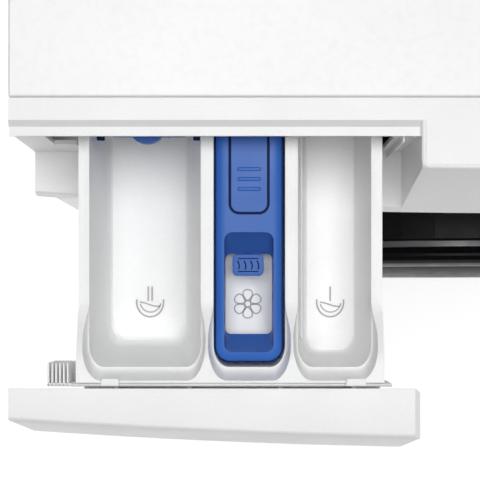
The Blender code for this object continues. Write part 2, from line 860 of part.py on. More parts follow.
def build_dispenser_housing():
    x = (-0.2688, -0.0930)
    y = (SEAM_Y - 0.0060, SEAM_Y + 0.2150)
    z = (0.7515, 0.8372)
    wall = 0.0020
    housing = box("dispenser_housing", x, y, z)
    cut(
        housing,
        box("hollow", grown(x, -wall), (y[0] - 0.01, y[1] - wall), (z[0] + wall, z[1] - wall)),
        box("mouth", grown(x, -wall), (y[0] - 0.01, SEAM_Y + 0.0100), (z[1] - 0.01, z[1] + 0.01)),
    )
    spout = turned(
        "spout",
        [(0.0130, -0.0015), (0.0165, -0.0015), (0.0165, 0.0010), (0.0130, 0.0010)],
        (HOSE_X, HOSE_Y, z[0]),
        (0, 0, 1),
        32,
    )
    join(housing, spout)
    cut(
        housing,
        rod("drain", (HOSE_X, HOSE_Y, z[0] - 0.01), (HOSE_X, HOSE_Y, z[0] + 0.003), 0.0130, 32),
    )


# ---------------------------------------------------------------- door


def build_door():
    centre = (0, PANEL_Y, AXIS_Z)
    forward = (0, -1, 0)
    frame = turned(
        "door_back_frame",
        [
            (0.1500, 0.0180),
            (0.1500, 0.0250),
            (0.2290, 0.0250),
            (0.2300, 0.0240),
            (0.2300, 0.0030),
            (0.2280, 0.0010),
            (0.1960, 0.0010),
            (0.1800, 0.0040),
            (0.1800, 0.0180),
        ],
        centre,
        forward,
        64,
    )
    cut(
        frame,
        box(
            "grip",
            (0.2160, 0.2400),
            (PANEL_Y - 0.0190, PANEL_Y + 0.001),
            (AXIS_Z - 0.055, AXIS_Z + 0.055),
        ),
        box(
            "hook_seat",
            (0.2010, 0.2135),
            (PANEL_Y - 0.0135, PANEL_Y + 0.001),
            (AXIS_Z - 0.014, AXIS_Z + 0.014),
        ),
        box(
            "arm_seat",
            (-0.2400, -0.2100),
            (PANEL_Y - 0.0213, PANEL_Y + 0.001),
            (AXIS_Z - 0.0290, AXIS_Z + 0.0290),
        ),
    )
    turned(
        "door_trim_ring",
        [(0.2200, 0.0253), (0.2200, 0.0297), (0.2292, 0.0297), (0.2292, 0.0253)],
        centre,
        forward,
        64,
    )
    turned(
        "door_ring",
        [
            (0.1500, 0.0300),
            (0.2288, 0.0300),
            (0.2300, 0.0312),
            (0.2300, 0.0350),
            (0.2275, 0.0390),
            (0.2210, 0.0416),
            (0.2100, 0.0423),
            (0.1780, 0.0400),
            (0.1560, 0.0345),
            (0.1500, 0.0320),
        ],
        centre,
        forward,
        64,
    )
    outer = [
        (0.1660, 0.0163), (0.1420, 0.0140), (0.1360, -0.0100), (0.1280, -0.0500),
        (0.1150, -0.0830), (0.0900, -0.0960),
    ]
    inner = [
        (0.0860, -0.0920), (0.1105, -0.0795), (0.1230, -0.0480), (0.1310, -0.0080),
        (0.1370, 0.0177), (0.1495, 0.0177), (0.1660, 0.0177),
    ]
    profile = [(0, -0.0975), (0.0450, -0.0972)] + outer[::-1] + inner[::-1] + [
        (0.0450, -0.0922),
        (0, -0.0920),
    ]
    turned("door_glass", profile, centre, forward, 48)
    build_door_hinge()
    hook_y = (PANEL_Y - 0.0110, PANEL_Y + 0.0140)
    hook = box("door_hook", (0.2055, 0.2085), hook_y, (AXIS_Z - 0.010, AXIS_Z + 0.010))
    join(
        hook,
        box(
            "hook_nose",
            (0.2055, 0.2115),
            (PANEL_Y + 0.0100, PANEL_Y + 0.0140),
            (AXIS_Z - 0.010, AXIS_Z + 0.010),
        ),
        rod(
            "hook_pin",
            (0.2070, PANEL_Y - 0.0100, AXIS_Z - 0.012),
            (0.2070, PANEL_Y - 0.0100, AXIS_Z + 0.012),
            0.0022,
            12,
        ),
    )
    lock_y = (PANEL_Y + 0.0033, PANEL_Y + 0.0225)
    lock = box("door_lock", (0.1905, 0.2300), lock_y, (AXIS_Z - 0.045, AXIS_Z + 0.045), 0.0015)
    cut(
        lock,
        box(
            "lock_slot",
            (0.2005, 0.2145),
            (lock_y[0] - 0.01, PANEL_Y + 0.0180),
            (AXIS_Z - 0.015, AXIS_Z + 0.015),
        ),
    )


def build_door_hinge():
    """A bracket with two knuckles on the panel, and an arm on the door between them."""
    pin_r = 0.0065
    back = PANEL_Y - GAP
    outline = [
        (-0.2620, back),
        (-0.2620, HINGE_Y + 0.0060),
        (HINGE_X - 0.0110, HINGE_Y - 0.0050),
        (HINGE_X, HINGE_Y - 0.0062),
        (HINGE_X + 0.0030, HINGE_Y - 0.0030),
        (HINGE_X + 0.0040, back),
    ]
    bracket = prism("door_hinge_bracket", outline, "Z", (AXIS_Z - 0.055, AXIS_Z + 0.055))
    cut(
        bracket,
        box(
            "arm_gap",
            (-0.2515, -0.2250),
            (HINGE_Y - 0.0200, PANEL_Y - 0.0120),
            (AXIS_Z - 0.0285, AXIS_Z + 0.0285),
        ),
    )
    bore = rod(
        "bore",
        (HINGE_X, HINGE_Y, AXIS_Z - 0.0400),
        (HINGE_X, HINGE_Y, AXIS_Z + 0.0400),
        0.0033,
    )
    cut(bracket, bore)
    arm = rod(
        "door_hinge_arm",
        (HINGE_X, HINGE_Y, AXIS_Z - 0.0280),
        (HINGE_X, HINGE_Y, AXIS_Z + 0.0280),
        pin_r,
    )
    leaf = box(
        "leaf",
        (HINGE_X + 0.0020, -0.2110),
        (PANEL_Y - 0.0207, PANEL_Y - 0.0170),
        (AXIS_Z - 0.0280, AXIS_Z + 0.0280),
    )
    neck = box(
        "neck",
        (HINGE_X - 0.0020, HINGE_X + 0.0060),
        (HINGE_Y + 0.0020, PANEL_Y - 0.0172),
        (AXIS_Z - 0.0280, AXIS_Z + 0.0280),
    )
    pin = rod(
        "pin",
        (HINGE_X, HINGE_Y, AXIS_Z - 0.0395),
        (HINGE_X, HINGE_Y, AXIS_Z + 0.0395),
        0.0030,
    )
    join(arm, leaf, neck, pin)


# ---------------------------------------------------------------- tub and drum


def build_tub():
    axis = (0, 1, 0)
    front = TUB_FRONT_Y
    split = TUB_SPLIT_Y
    r = TUB_RADIUS
    wall = TUB_WALL
    neck = 0.1640
    tub = turned(
        "tub_front",
        [
            (neck, -0.0080),
            (neck + 0.0040, -0.0080),
            (neck + 0.0060, 0.0),
            (r - 0.012, 0.0),
            (r, 0.012),
            (r, split - front - 0.008),
            (r + 0.0080, split - front - 0.008),
            (r + 0.0080, split - front),
            (r - wall, split - front),
            (r - wall, 0.012 + wall / 2),
            (r - 0.012 - wall / 2, wall),
            (neck, wall),
        ],
        (0, front, AXIS_Z),
        axis,
    )
    spigots = (
        tube("inlet_spigot", (HOSE_X, HOSE_Y, 0.6350), 0.0330, 0.0130, 0.0100),
        tube("sump_spigot", (SUMP_X, SUMP_Y, 0.2350), 0.0250, 0.0160, 0.0130),
    )
    join(tub, *spigots)
    cut(
        tub,
        rod("inlet_bore", (HOSE_X, HOSE_Y, 0.6000), (HOSE_X, HOSE_Y, 0.6700), 0.0100),
        rod("sump_bore", (SUMP_X, SUMP_Y, 0.2300), (SUMP_X, SUMP_Y, 0.3000), 0.0130),
    )
    start = split + GAP
    back = TUB_BACK_Y
    rear = turned(
        "tub_rear",
        [
            (0.0312, back - 0.0010),
            (r - wall, back - 0.0010),
            (r - wall, start),
            (r + 0.0080, start),
            (r + 0.0080, start + 0.008),
            (r, start + 0.008),
            (r, back - 0.004),
            (r - 0.008, back + 0.0040),
            (0.0520, back + 0.0040),
            (0.0400, 0.2495),
            (0.0312, 0.2495),
        ],
        (0, 0, AXIS_Z),
        axis,
    )
    extras = []
    for side in (-1, 1):
        x = side * SPRING_X
        ear = (min(x - 0.010, x + 0.010), max(x - 0.010, x + 0.010))
        extras.append(box("ear", ear, (SPRING_Y - 0.016, SPRING_Y + 0.016), (0.5580, 0.6380)))
        x = side * DAMPER_X
        lug = (min(x - 0.012, x + 0.012), max(x - 0.012, x + 0.012))
        extras.append(box("lug", lug, (DAMPER_Y - 0.014, DAMPER_Y + 0.014), (0.2420, 0.2680)))
    extras.append(
        box("motor_seat", (MOTOR_X - 0.040, MOTOR_X + 0.040), (0.120, 0.200), (0.1600, 0.1760))
    )
    join(rear, *extras)
    cut(
        rear,
        box("heater_slot", (-0.0320, 0.0320), (back - 0.01, back + 0.01), (0.1740, 0.1905)),
    )
    build_heater()
    turned(
        "drum_bearing",
        [
            (SHAFT_RADIUS + 0.0003, 0.2212), (0.0309, 0.2212), (0.0309, 0.2490),
            (SHAFT_RADIUS + 0.0003, 0.2490),
        ],
        (0, 0, AXIS_Z),
        axis,
        32,
    )
    build_gasket()
    weight = turned(
        "front_counterweight",
        [
            (0.1880, -0.0360), (0.2480, -0.0360), (0.2520, -0.0320), (0.2520, -0.0040),
            (0.2480, -0.0005), (0.1880, -0.0005),
        ],
        (0, front, AXIS_Z),
        axis,
        48,
    )
    return weight


def tube(name, foot, length, outer, inner):
    profile = [(inner, 0), (outer, 0), (outer, length), (inner, length)]
    return turned(name, profile, foot, (0, 0, 1), 24)


def build_heater():
    radius = 0.2488
    z = AXIS_Z - radius
    points = [(-0.020, 0.2330, z), (-0.020, 0.050, z)]
    for i in range(1, 8):
        angle = math.pi * i / 8
        points.append((-0.020 * math.cos(angle), 0.050 - 0.020 * math.sin(angle), z))
    points += [(0.020, 0.050, z), (0.020, 0.2330, z)]
    heater = sweep("heater", points, 0.0033, 10)
    join(heater, box("heater_plate", (-0.0300, 0.0300), (0.2255, 0.2370), (0.1750, 0.1890)))


def build_gasket():
    """A ribbed rubber collar between the door and the tub."""
    profile = [
        (0.1500, 0.0060),
        (0.1640, 0.0040),
        (0.1745, 0.0045),
        (0.1760, 0.0080),
        (0.1700, 0.0150),
        (0.1755, 0.0230),
        (0.1690, 0.0310),
        (0.1755, 0.0390),
        (0.1755, 0.0610),
        (0.1705, 0.0610),
        (0.1685, 0.0525),
        (0.1600, 0.0525),
        (0.1585, 0.0450),
        (0.1640, 0.0310),
        (0.1560, 0.0200),
        (0.1600, 0.0120),
        (0.1500, 0.0090),
    ]
    turned("door_gasket", profile, (0, PANEL_Y, AXIS_Z), (0, 1, 0))


def build_drum():
    axis = (0, 1, 0)
    r = DRUM_RADIUS
    t = DRUM_WALL
    front = DRUM_FRONT_Y
    back = DRUM_BACK_Y
    turned(
        "drum",
        [
            (0.1660, front - 0.0010),
            (0.1720, front - 0.0020),
            (0.2100, front + 0.0020),
            (r - 0.0080, front + 0.0100),
            (r, front + 0.0220),
            (r, back - 0.0080),
            (r - 0.0060, back),
            (0.0180, back),
            (0.0180, back - t),
            (r - 0.0070, back - t),
            (r - t, back - 0.0090),
            (r - t, front + 0.0225),
            (r - 0.0090, front + 0.0115),
            (0.2095, front + 0.0040),
            (0.1725, front + 0.0002),
            (0.1670, front + 0.0012),
        ],
        (0, 0, AXIS_Z),
        axis,
    )
    section = [
        (-0.0260, 0.2355),
        (-0.0150, 0.2100),
        (-0.0095, 0.1950),
        (-0.0040, 0.1905),
        (0.0040, 0.1905),
        (0.0095, 0.1950),
        (0.0150, 0.2100),
        (0.0260, 0.2355),
    ]
    for number in range(3):
        lifter = prism(
            f"drum_lifter_{number + 1}",
            [(a, -b) for a, b in section],
            "Y",
            (front + 0.0300, back - 0.0200),
        )
        turn = Matrix.Rotation(math.radians(120 * number), 4, "Y")
        lifter.data.transform(Matrix.Translation(Vector((0, 0, AXIS_Z))) @ turn)
    hub = [
        (0, back + GAP),
        (0.0300, back + GAP),
        (0.0300, back + 0.0160),
        (SHAFT_RADIUS, back + 0.0165),
        (SHAFT_RADIUS, 0.2840),
        (0, 0.2840),
    ]
    spider = turned("drum_spider", hub, (0, 0, AXIS_Z), axis, 32)
    arms = []
    for number in range(3):
        outline = [(-0.0170, 0.010), (0.0170, 0.010), (0.0110, 0.2320), (-0.0110, 0.2320)]
        arm = prism("arm", outline, "Y", (back + GAP, back + 0.0120))
        turn = Matrix.Rotation(math.radians(60 + 120 * number), 4, "Y")
        arm.data.transform(Matrix.Translation(Vector((0, 0, AXIS_Z))) @ turn)
        arms.append(arm)
    join(spider, *arms)


def build_drive():
    axis = (0, 1, 0)
    low, high = PULLEY_Y
    wheel = turned(
        "drum_pulley",
        [
            (SHAFT_RADIUS + 0.0002, low - 0.0020),
            (0.0280, low - 0.0020),
            (0.0280, low + 0.0040),
            (PULLEY_RADIUS - 0.0140, low + 0.0050),
            (PULLEY_RADIUS - 0.0060, low),
            (PULLEY_RADIUS + 0.0030, low),
            (PULLEY_RADIUS + 0.0030, low + 0.0012),
            (PULLEY_RADIUS, low + 0.0016),
            (PULLEY_RADIUS, high - 0.0016),
            (PULLEY_RADIUS + 0.0030, high - 0.0012),
            (PULLEY_RADIUS + 0.0030, high),
            (PULLEY_RADIUS - 0.0060, high),
            (PULLEY_RADIUS - 0.0140, low + 0.0085),
            (SHAFT_RADIUS + 0.0002, low + 0.0110),
        ],
        (0, 0, AXIS_Z),
        axis,
        40,
    )
    windows = []
    for number in range(6):
        angle = math.radians(60 * number)
        reach = 0.072
        centre = (reach * math.cos(angle), AXIS_Z + reach * math.sin(angle))
        windows.append(
            rod(
                "window",
                (centre[0], low - 0.01, centre[1]),
                (centre[0], high + 0.01, centre[1]),
                0.0230,
                12,
            )
        )
    cut(wheel, *windows)
    centre = (MOTOR_X, 0, MOTOR_Z)
    turned(
        "motor_pulley",
        [
            (0, 0.2400),
            (0.0060, 0.2400),
            (0.0060, 0.2600),
            (MOTOR_PULLEY_RADIUS + 0.0020, 0.2600),
            (MOTOR_PULLEY_RADIUS + 0.0020, 0.2612),
            (MOTOR_PULLEY_RADIUS, 0.2616),
            (MOTOR_PULLEY_RADIUS, 0.2784),
            (MOTOR_PULLEY_RADIUS + 0.0020, 0.2788),
            (MOTOR_PULLEY_RADIUS + 0.0020, 0.2800),
            (0, 0.2800),
        ],
        centre,
        axis,
        32,
    )
    motor = turned(
        "motor",
        [
            (0, 0.1000),
            (0.0300, 0.1000),
            (MOTOR_RADIUS, 0.1080),
            (MOTOR_RADIUS, 0.2240),
            (0.0300, 0.2340),
            (0.0100, 0.2380),
            (0, 0.2380),
        ],
        centre,
        axis,
        32,
    )
    seat = box(
        "seat",
        (MOTOR_X - 0.038, MOTOR_X + 0.038),
        (0.125, 0.195),
        (MOTOR_Z + 0.020, 0.1597),
    )
    join(motor, seat)
    build_belt()


def build_belt():
    """A flat loop round both pulleys, just clear of them."""
    big = PULLEY_RADIUS + 0.0004
    small = MOTOR_PULLEY_RADIUS + 0.0004
    along = Vector((MOTOR_X, MOTOR_Z - AXIS_Z))
    length = along.length
    base = math.atan2(along.y, along.x)
    open_angle = math.acos((big - small) / length)
    y = (PULLEY_Y[0] + 0.0022, PULLEY_Y[1] - 0.0022)
    loops = []
    path = []
    for i in range(31):
        angle = base + open_angle + (2 * math.pi - 2 * open_angle) * i / 30
        path.append((0, AXIS_Z, big, angle))
    for i in range(9):
        angle = base - open_angle + 2 * open_angle * i / 8
        path.append((MOTOR_X, MOTOR_Z, small, angle))
    for cx, cz, radius, angle in path:
        ux = math.cos(angle)
        uz = math.sin(angle)
        outer = radius + 0.0024
        loops.append(
            [
                (cx + radius * ux, y[0], cz + radius * uz),
                (cx + outer * ux, y[0], cz + outer * uz),
                (cx + outer * ux, y[1], cz + outer * uz),
                (cx + radius * ux, y[1], cz + radius * uz),
            ]
        )
    skin("drive_belt", loops, close=True)


def build_suspension():
    for side, word in ((-1, "left"), (1, "right")):
        x = side * SPRING_X
        turned(
            f"suspension_spring_{word}",
            [(0, 0.6385), (0.0110, 0.6385), (0.0110, 0.8110), (0, 0.8110)],
            (x, SPRING_Y, 0),
            (0, 0, 1),
            16,
        )
        x = side * DAMPER_X
        turned(
            f"damper_tube_{word}",
            [
                (0, 0.0555), (0.0160, 0.0555), (0.0160, 0.1700), (0.0125, 0.1700),
                (0.0125, 0.0620), (0, 0.0620),
            ],
            (x, DAMPER_Y, 0),
            (0, 0, 1),
            24,
        )
        turned(
            f"damper_rod_{word}",
            [
                (0, 0.0800), (0.0115, 0.0800), (0.0115, 0.0900), (0.0075, 0.0920),
                (0.0075, 0.2415), (0, 0.2415),
            ],
            (x, DAMPER_Y, 0),
            (0, 0, 1),
            24,
        )


def build_water():
    """Valve, hoses, drain pump and filter."""
    sump_top = 0.2345
    pump_top = 0.1330
    bellows("sump_hose", (SUMP_X, SUMP_Y), pump_top + 0.0005, sump_top, 0.0150, 0.0180)
    bellows("dispenser_hose", (HOSE_X, HOSE_Y), 0.6685, 0.7497, 0.0135, 0.0165)
    y = (PANEL_Y + 0.0300, PANEL_Y + 0.1250)
    pump = turned(
        "drain_pump",
        [
            (0, y[1]),
            (0.0330, y[1]),
            (0.0360, y[1] - 0.0030),
            (0.0360, y[0] + 0.0300),
            (0.0335, y[0] + 0.0300),
            (0.0335, y[0]),
            (0.0300, y[0]),
            (0.0300, y[0] + 0.0500),
            (0, y[0] + 0.0500),
        ],
        (PUMP_X, 0, PUMP_Z),
        (0, 1, 0),
        32,
    )
    spigot = rod(
        "pump_spigot",
        (SUMP_X, SUMP_Y, PUMP_Z + 0.0200),
        (SUMP_X, SUMP_Y, pump_top),
        0.0140,
    )
    foot = box(
        "pump_foot",
        (PUMP_X - 0.020, PUMP_X + 0.020),
        (y[0] + 0.0350, y[1] - 0.0500),
        (0.0485, PUMP_Z - 0.0200),
    )
    join(pump, spigot, foot)
    cap = turned(
        "pump_filter_cap",
        [
            (0, PANEL_Y + 0.0150),
            (0.0310, PANEL_Y + 0.0150),
            (0.0325, PANEL_Y + 0.0170),
            (0.0325, PANEL_Y + 0.0280),
            (0.0290, PANEL_Y + 0.0290),
            (0.0290, PANEL_Y + 0.0650),
            (0, PANEL_Y + 0.0650),
        ],
        (PUMP_X, 0, PUMP_Z),
        (0, 1, 0),
        32,
    )
    grip = box(
        "grip",
        (PUMP_X - 0.0260, PUMP_X + 0.0260),
        (PANEL_Y + 0.0070, PANEL_Y + 0.0160),
        (PUMP_Z - 0.0040, PUMP_Z + 0.0040),
    )
    join(cap, grip)
    valve = box(
        "inlet_valve",
        (0.1800, 0.2300),
        (REAR_Y - 0.0500, REAR_Y - 0.0020),
        (0.7700, 0.8080),
    )
    spigot = rod(
        "spigot",
        (0.2050, REAR_Y - 0.0100, 0.7900),
        (0.2050, REAR_Y + 0.0200, 0.7900),
        0.0132,
    )
    coil = rod("coil", (0.1950, REAR_Y - 0.0260, 0.7350), (0.1950, REAR_Y - 0.0260, 0.7750), 0.0140)
    join(valve, spigot, coil)


def bellows(name, at, low, high, inner, outer):
    """A pleated hose that stands upright."""
    count = 5
    pitch = (high - low) / count
    profile = [(inner - 0.0025, low), (inner, low)]
    for i in range(count):
        z = low + i * pitch
        profile += [(outer, z + pitch * 0.35), (outer, z + pitch * 0.65)]
        if i < count - 1:
            profile.append((inner, z + pitch))
    profile += [(inner, high), (inner - 0.0025, high)]
    turned(name, profile, (at[0], at[1], 0), (0, 0, 1), 12)


def main():
    clear_scene()
    build_cabinet()
    build_console()
    build_drawer()
    build_door()
    build_tub()
    build_drum()
    build_drive()
    build_suspension()
    build_water()


main()
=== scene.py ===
"""The looks of a front loading washing machine with its detergent drawer pulled out.

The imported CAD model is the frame: every piece here takes its place from it and
rides on one of its bodies. Metres, Z up, the machine's front faces -Y.
"""

import json
import math

import bmesh
import bpy
from mathutils import Matrix, Vector


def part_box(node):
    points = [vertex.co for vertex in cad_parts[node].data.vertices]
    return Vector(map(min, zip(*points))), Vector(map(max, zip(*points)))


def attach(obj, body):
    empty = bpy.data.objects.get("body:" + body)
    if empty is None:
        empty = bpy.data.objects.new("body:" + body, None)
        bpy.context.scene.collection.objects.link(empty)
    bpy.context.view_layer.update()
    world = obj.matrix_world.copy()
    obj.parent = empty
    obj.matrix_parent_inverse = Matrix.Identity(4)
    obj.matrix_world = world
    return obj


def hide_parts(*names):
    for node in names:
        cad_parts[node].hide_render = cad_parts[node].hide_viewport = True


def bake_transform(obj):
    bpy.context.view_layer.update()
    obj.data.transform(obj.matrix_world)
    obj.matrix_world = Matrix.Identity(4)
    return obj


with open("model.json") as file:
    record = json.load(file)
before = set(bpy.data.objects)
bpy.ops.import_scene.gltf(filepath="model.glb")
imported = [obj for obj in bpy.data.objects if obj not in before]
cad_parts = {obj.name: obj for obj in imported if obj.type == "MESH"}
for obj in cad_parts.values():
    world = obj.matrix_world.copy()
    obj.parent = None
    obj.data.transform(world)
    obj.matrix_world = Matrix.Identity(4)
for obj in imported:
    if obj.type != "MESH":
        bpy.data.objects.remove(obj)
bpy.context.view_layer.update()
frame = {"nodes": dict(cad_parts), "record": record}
NODES = frame["nodes"]


def low(node):
    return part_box(node)[0]


def high(node):
    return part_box(node)[1]


# Places read from the frame: the worktop's top and front edge, the rear, the front
# panel's face, the door's axis, and how far the drawer stands out at rest.
TOP_Z = high("worktop").z
SEAM_Y = low("worktop").y
REAR_Y = high("rear_panel").y
PANEL_Y = low("front_panel").y
DOOR_Z = (low("door_ring").z + high("door_ring").z) / 2
DRAWER_PULL = low("drawer_tray").y - SEAM_Y + 0.0103

# The console's face: how far it stands out, how it bows and how it leans.
FACE_REACH = 0.0384
FACE_BOW = 0.115
FACE_LEAN = 0.017 / 0.1135

# The way out of the machine's front, towards the user.
OUTWARD = Vector((0, -1, 0))

# The drawer's recess in the console: its right side and its back wall.
RECESS_RIGHT_X = -0.0785
RECESS_BACK_Y = SEAM_Y - 0.0185


def face_y(x, z, out=0.0):
    """Y of the console's bowed and leaning face, moved towards the user by out."""
    return SEAM_Y - FACE_REACH + FACE_BOW * x * x - FACE_LEAN * (TOP_Z - z) - out


def face_normal(x):
    return Vector((-2 * FACE_BOW * x, -1, FACE_LEAN)).normalized()


def face_point(x, z, out=0.0):
    """A point on the console's face, moved along its normal."""
    return Vector((x, face_y(x, z), z)) + face_normal(x) * out


def middle_of(node):
    box_low, box_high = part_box(node)
    return (box_low + box_high) / 2


# ---------------------------------------------------------------- mesh tools


def placed(name, data):
    """A new object in the scene."""
    obj = bpy.data.objects.new(name, data)
    bpy.context.scene.collection.objects.link(obj)
    return obj


def mesh_object(name, shape):
    """A bmesh made an object in the scene, its faces pointing out."""
    bmesh.ops.remove_doubles(shape, verts=shape.verts, dist=1e-6)
    bmesh.ops.recalc_face_normals(shape, faces=shape.faces)
    mesh = bpy.data.meshes.new(name)
    shape.to_mesh(mesh)
    shape.free()
    return placed(name, mesh)


def shade(obj, angle=35):
    """Smooth shading, with sharp edges over an angle."""
    obj.data.shade_smooth()
    obj.data.set_sharp_from_angle(angle=math.radians(angle))
    return obj


def soften(obj, width, segments=2, angle=32):
    """Rounds an object's hard edges."""
    bevel = obj.modifiers.new("soften", "BEVEL")
    bevel.width = width
    bevel.segments = segments
    bevel.limit_method = "ANGLE"
    bevel.angle_limit = math.radians(angle)
    return obj


def loft(name, loops, ring=False):
    """A body through closed loops of points that all have the same count."""
    shape = bmesh.new()
    rows = [[shape.verts.new(point) for point in loop] for loop in loops]
    pairs = list(zip(rows, rows[1:]))
    if ring:
        pairs.append((rows[-1], rows[0]))
    for first, second in pairs:
        count = len(first)
        for i in range(count):
            j = (i + 1) % count
            shape.faces.new((first[i], first[j], second[j], second[i]))
    if not ring:
        shape.faces.new(rows[0][::-1])
        shape.faces.new(rows[-1])
    return mesh_object(name, shape)


def block(name, x, y, z, width=0.0):
    """A box, its edges rounded where a width is given."""
    shape = bmesh.new()
    size = (x[1] - x[0], y[1] - y[0], z[1] - z[0])
    centre = Vector(((x[0] + x[1]) / 2, (y[0] + y[1]) / 2, (z[0] + z[1]) / 2))
    place = Matrix.Translation(centre) @ Matrix.Diagonal((*size, 1))
    bmesh.ops.create_cube(shape, size=1, matrix=place)
    if width:
        edges = list(shape.edges)
        bmesh.ops.bevel(shape, geom=edges, offset=width, segments=2, profile=0.5, affect="EDGES")
    return mesh_object(name, shape)


def extrude(name, outline, axis, span):
    """A flat outline given in the two other axes, drawn out along one axis."""
    order = {"X": (2, 0, 1), "Y": (0, 2, 1), "Z": (0, 1, 2)}[axis]
    loops = []
    for depth in span:
        loops.append([tuple((a, b, depth)[k] for k in order) for a, b in outline])
    return loft(name, loops)


def arc(cx, cy, radius, start, end, steps, radius_y=None):
    """Points along a round or elliptic arc, between two angles in degrees."""
    ry = radius if radius_y is None else radius_y
    points = []
    for i in range(steps + 1):
        angle = math.radians(start + (end - start) * i / steps)
        points.append((cx + radius * math.cos(angle), cy + ry * math.sin(angle)))
    return points


def rounded(x, y, radius, steps=6):
    """A rectangle's outline with round corners."""
    left, right = x[0] + radius, x[1] - radius
    front, back = y[0] + radius, y[1] - radius
    points = arc(right, back, radius, 0, 90, steps) + arc(left, back, radius, 90, 180, steps)
    points += arc(left, front, radius, 180, 270, steps)
    return points + arc(right, front, radius, 270, 360, steps)


def grown(span, amount):
    """A span made longer at both ends."""
    return (span[0] - amount, span[1] + amount)


def filleted(profile, radius, steps=3):
    """Rounds the corners of a closed flat profile."""
    count = len(profile)
    points = []
    for i, corner in enumerate(profile):
        here = Vector(corner)
        before = Vector(profile[i - 1]) - here
        after = Vector(profile[(i + 1) % count]) - here
        if before.length < 1e-7 or after.length < 1e-7:
            continue
        if before.angle(after) > math.radians(165):
            points.append(corner)
            continue
        reach = min(radius, 0.42 * before.length, 0.42 * after.length)
        start = here + before.normalized() * reach
        end = here + after.normalized() * reach
        for k in range(steps + 1):
            t = k / steps
            spot = (1 - t) ** 2 * start + 2 * t * (1 - t) * here + t * t * end
            points.append(tuple(spot))
    return points


def frame_of(direction):
    """The unit vector along a direction and two across it."""
    along = Vector(direction).normalized()
    helper = Vector((0, 0, 1)) if abs(along.z) < 0.9 else Vector((1, 0, 0))
    side = along.cross(helper).normalized()
    return along, side, along.cross(side).normalized()


def lathe(name, profile, centre, direction, segments=96, radius=0.0):
    """Turns a closed profile of (radius, distance) points round an axis."""
    if radius:
        profile = filleted(profile, radius)
    along, side, up = frame_of(direction)
    centre = Vector(centre)
    shape = bmesh.new()
    rings = []
    for i in range(segments):
        angle = 2 * math.pi * i / segments
        out = side * math.cos(angle) + up * math.sin(angle)
        rings.append([shape.verts.new(centre + out * r + along * d) for r, d in profile])
    count = len(profile)
    for i in range(segments):
        first, second = rings[i], rings[(i + 1) % segments]
        for k in range(count):
            n = (k + 1) % count
            shape.faces.new((first[k], first[n], second[n], second[k]))
    bmesh.ops.remove_doubles(shape, verts=shape.verts, dist=1e-6)
    bmesh.ops.dissolve_degenerate(shape, edges=shape.edges, dist=1e-7)
    return shade(mesh_object(name, shape))


def headings(points, closed):
    """Which way a path runs at each of its points."""
    found = []
    for i, point in enumerate(points):
        before = points[i - 1] if i or closed else point
        after = points[(i + 1) % len(points)] if i < len(points) - 1 or closed else point
        found.append((after - before).normalized())
    return found


def tube(name, points, radius, sides=12, closed=False, squeeze=1.0, lift=None):
    """A round tube along a path, or a flat one where it is squeezed towards lift."""
    points = [Vector(p) for p in points]
    up = Vector(lift) if lift else None
    loops = []
    last = None
    for point, along in zip(points, headings(points, closed)):
        if up is not None:
            side = along.cross(up).normalized()
        elif last is None:
            side = frame_of(along)[1]
        else:
            side = (last - along * last.dot(along)).normalized()
        last = side
        rise = side.cross(along).normalized()
        loop = []
        for k in range(sides):
            angle = 2 * math.pi * k / sides
            across = side * math.cos(angle) + rise * math.sin(angle) * squeeze
            loop.append(point + across * radius)
        loops.append(loop)
    return shade(loft(name, loops, ring=closed), 50)


def stroke(name, points, width, height, closed=False):
    """A low raised line on a level floor, with steep sides."""
    half = width / 2
    section = ((-half, -0.0002), (-half * 0.78, height), (half * 0.78, height), (half, -0.0002))
    points = [Vector(p) for p in points]
    loops = []
    for point, along in zip(points, headings(points, closed)):
        side = Vector((along.y, -along.x, 0))
        loops.append([point + side * a + Vector((0, 0, b)) for a, b in section])
    return loft(name, loops, ring=closed)


def joined(name, parts):
    """Several meshes made one object, as they are."""
    shape = bmesh.new()
    for part in parts:
        part.data.transform(part.matrix_world)
        shape.from_mesh(part.data)
    mesh = bpy.data.meshes.new(name)
    shape.to_mesh(mesh)
    shape.free()
    for part in parts:
        bpy.data.objects.remove(part)
    return placed(name, mesh)


def combined(target, tools, operation):
    """Cuts tools from a body or adds them to it."""
    for tool in tools:
        change = target.modifiers.new("combine", "BOOLEAN")
        change.operation = operation
        change.solver = "EXACT"
        change.object = tool
        graph = bpy.context.evaluated_depsgraph_get()
        mesh = bpy.data.meshes.new_from_object(target.evaluated_get(graph))
        target.modifiers.clear()
        target.data = mesh
        bpy.data.objects.remove(tool)
    return target


def cut(target, *tools):
    return combined(target, tools, "DIFFERENCE")


def fuse(target, *tools):
    return combined(target, tools, "UNION")


def smooth(value):
    """Eases from 0 to 1."""
    value = min(1.0, max(0.0, value))
    return value * value * (3 - 2 * value)


# ---------------------------------------------------------------- materials

# Each kind: the scale of its grain and clouds, how deep the grain is, and how far
# colour and roughness spread.
KINDS = {
    "moulded": dict(grain=2600, depth=0.00002, cloud=9, spread=0.014, rough=0.06),
    "painted": dict(grain=750, depth=0.00002, cloud=3, spread=0.008, rough=0.06),
    "gloss": dict(grain=240, depth=0.000008, cloud=20, spread=0.25, rough=0.06),
    "brushed": dict(grain=900, depth=0.00002, cloud=9, spread=0.12, rough=0.14, stretch=0.03),
    "cast": dict(grain=620, depth=0.00012, cloud=16, spread=0.16, rough=0.14),
    "rubber": dict(grain=1300, depth=0.00006, cloud=24, spread=0.22, rough=0.12),
    "stone": dict(grain=260, depth=0.0006, cloud=18, spread=0.22, rough=0.10),
}

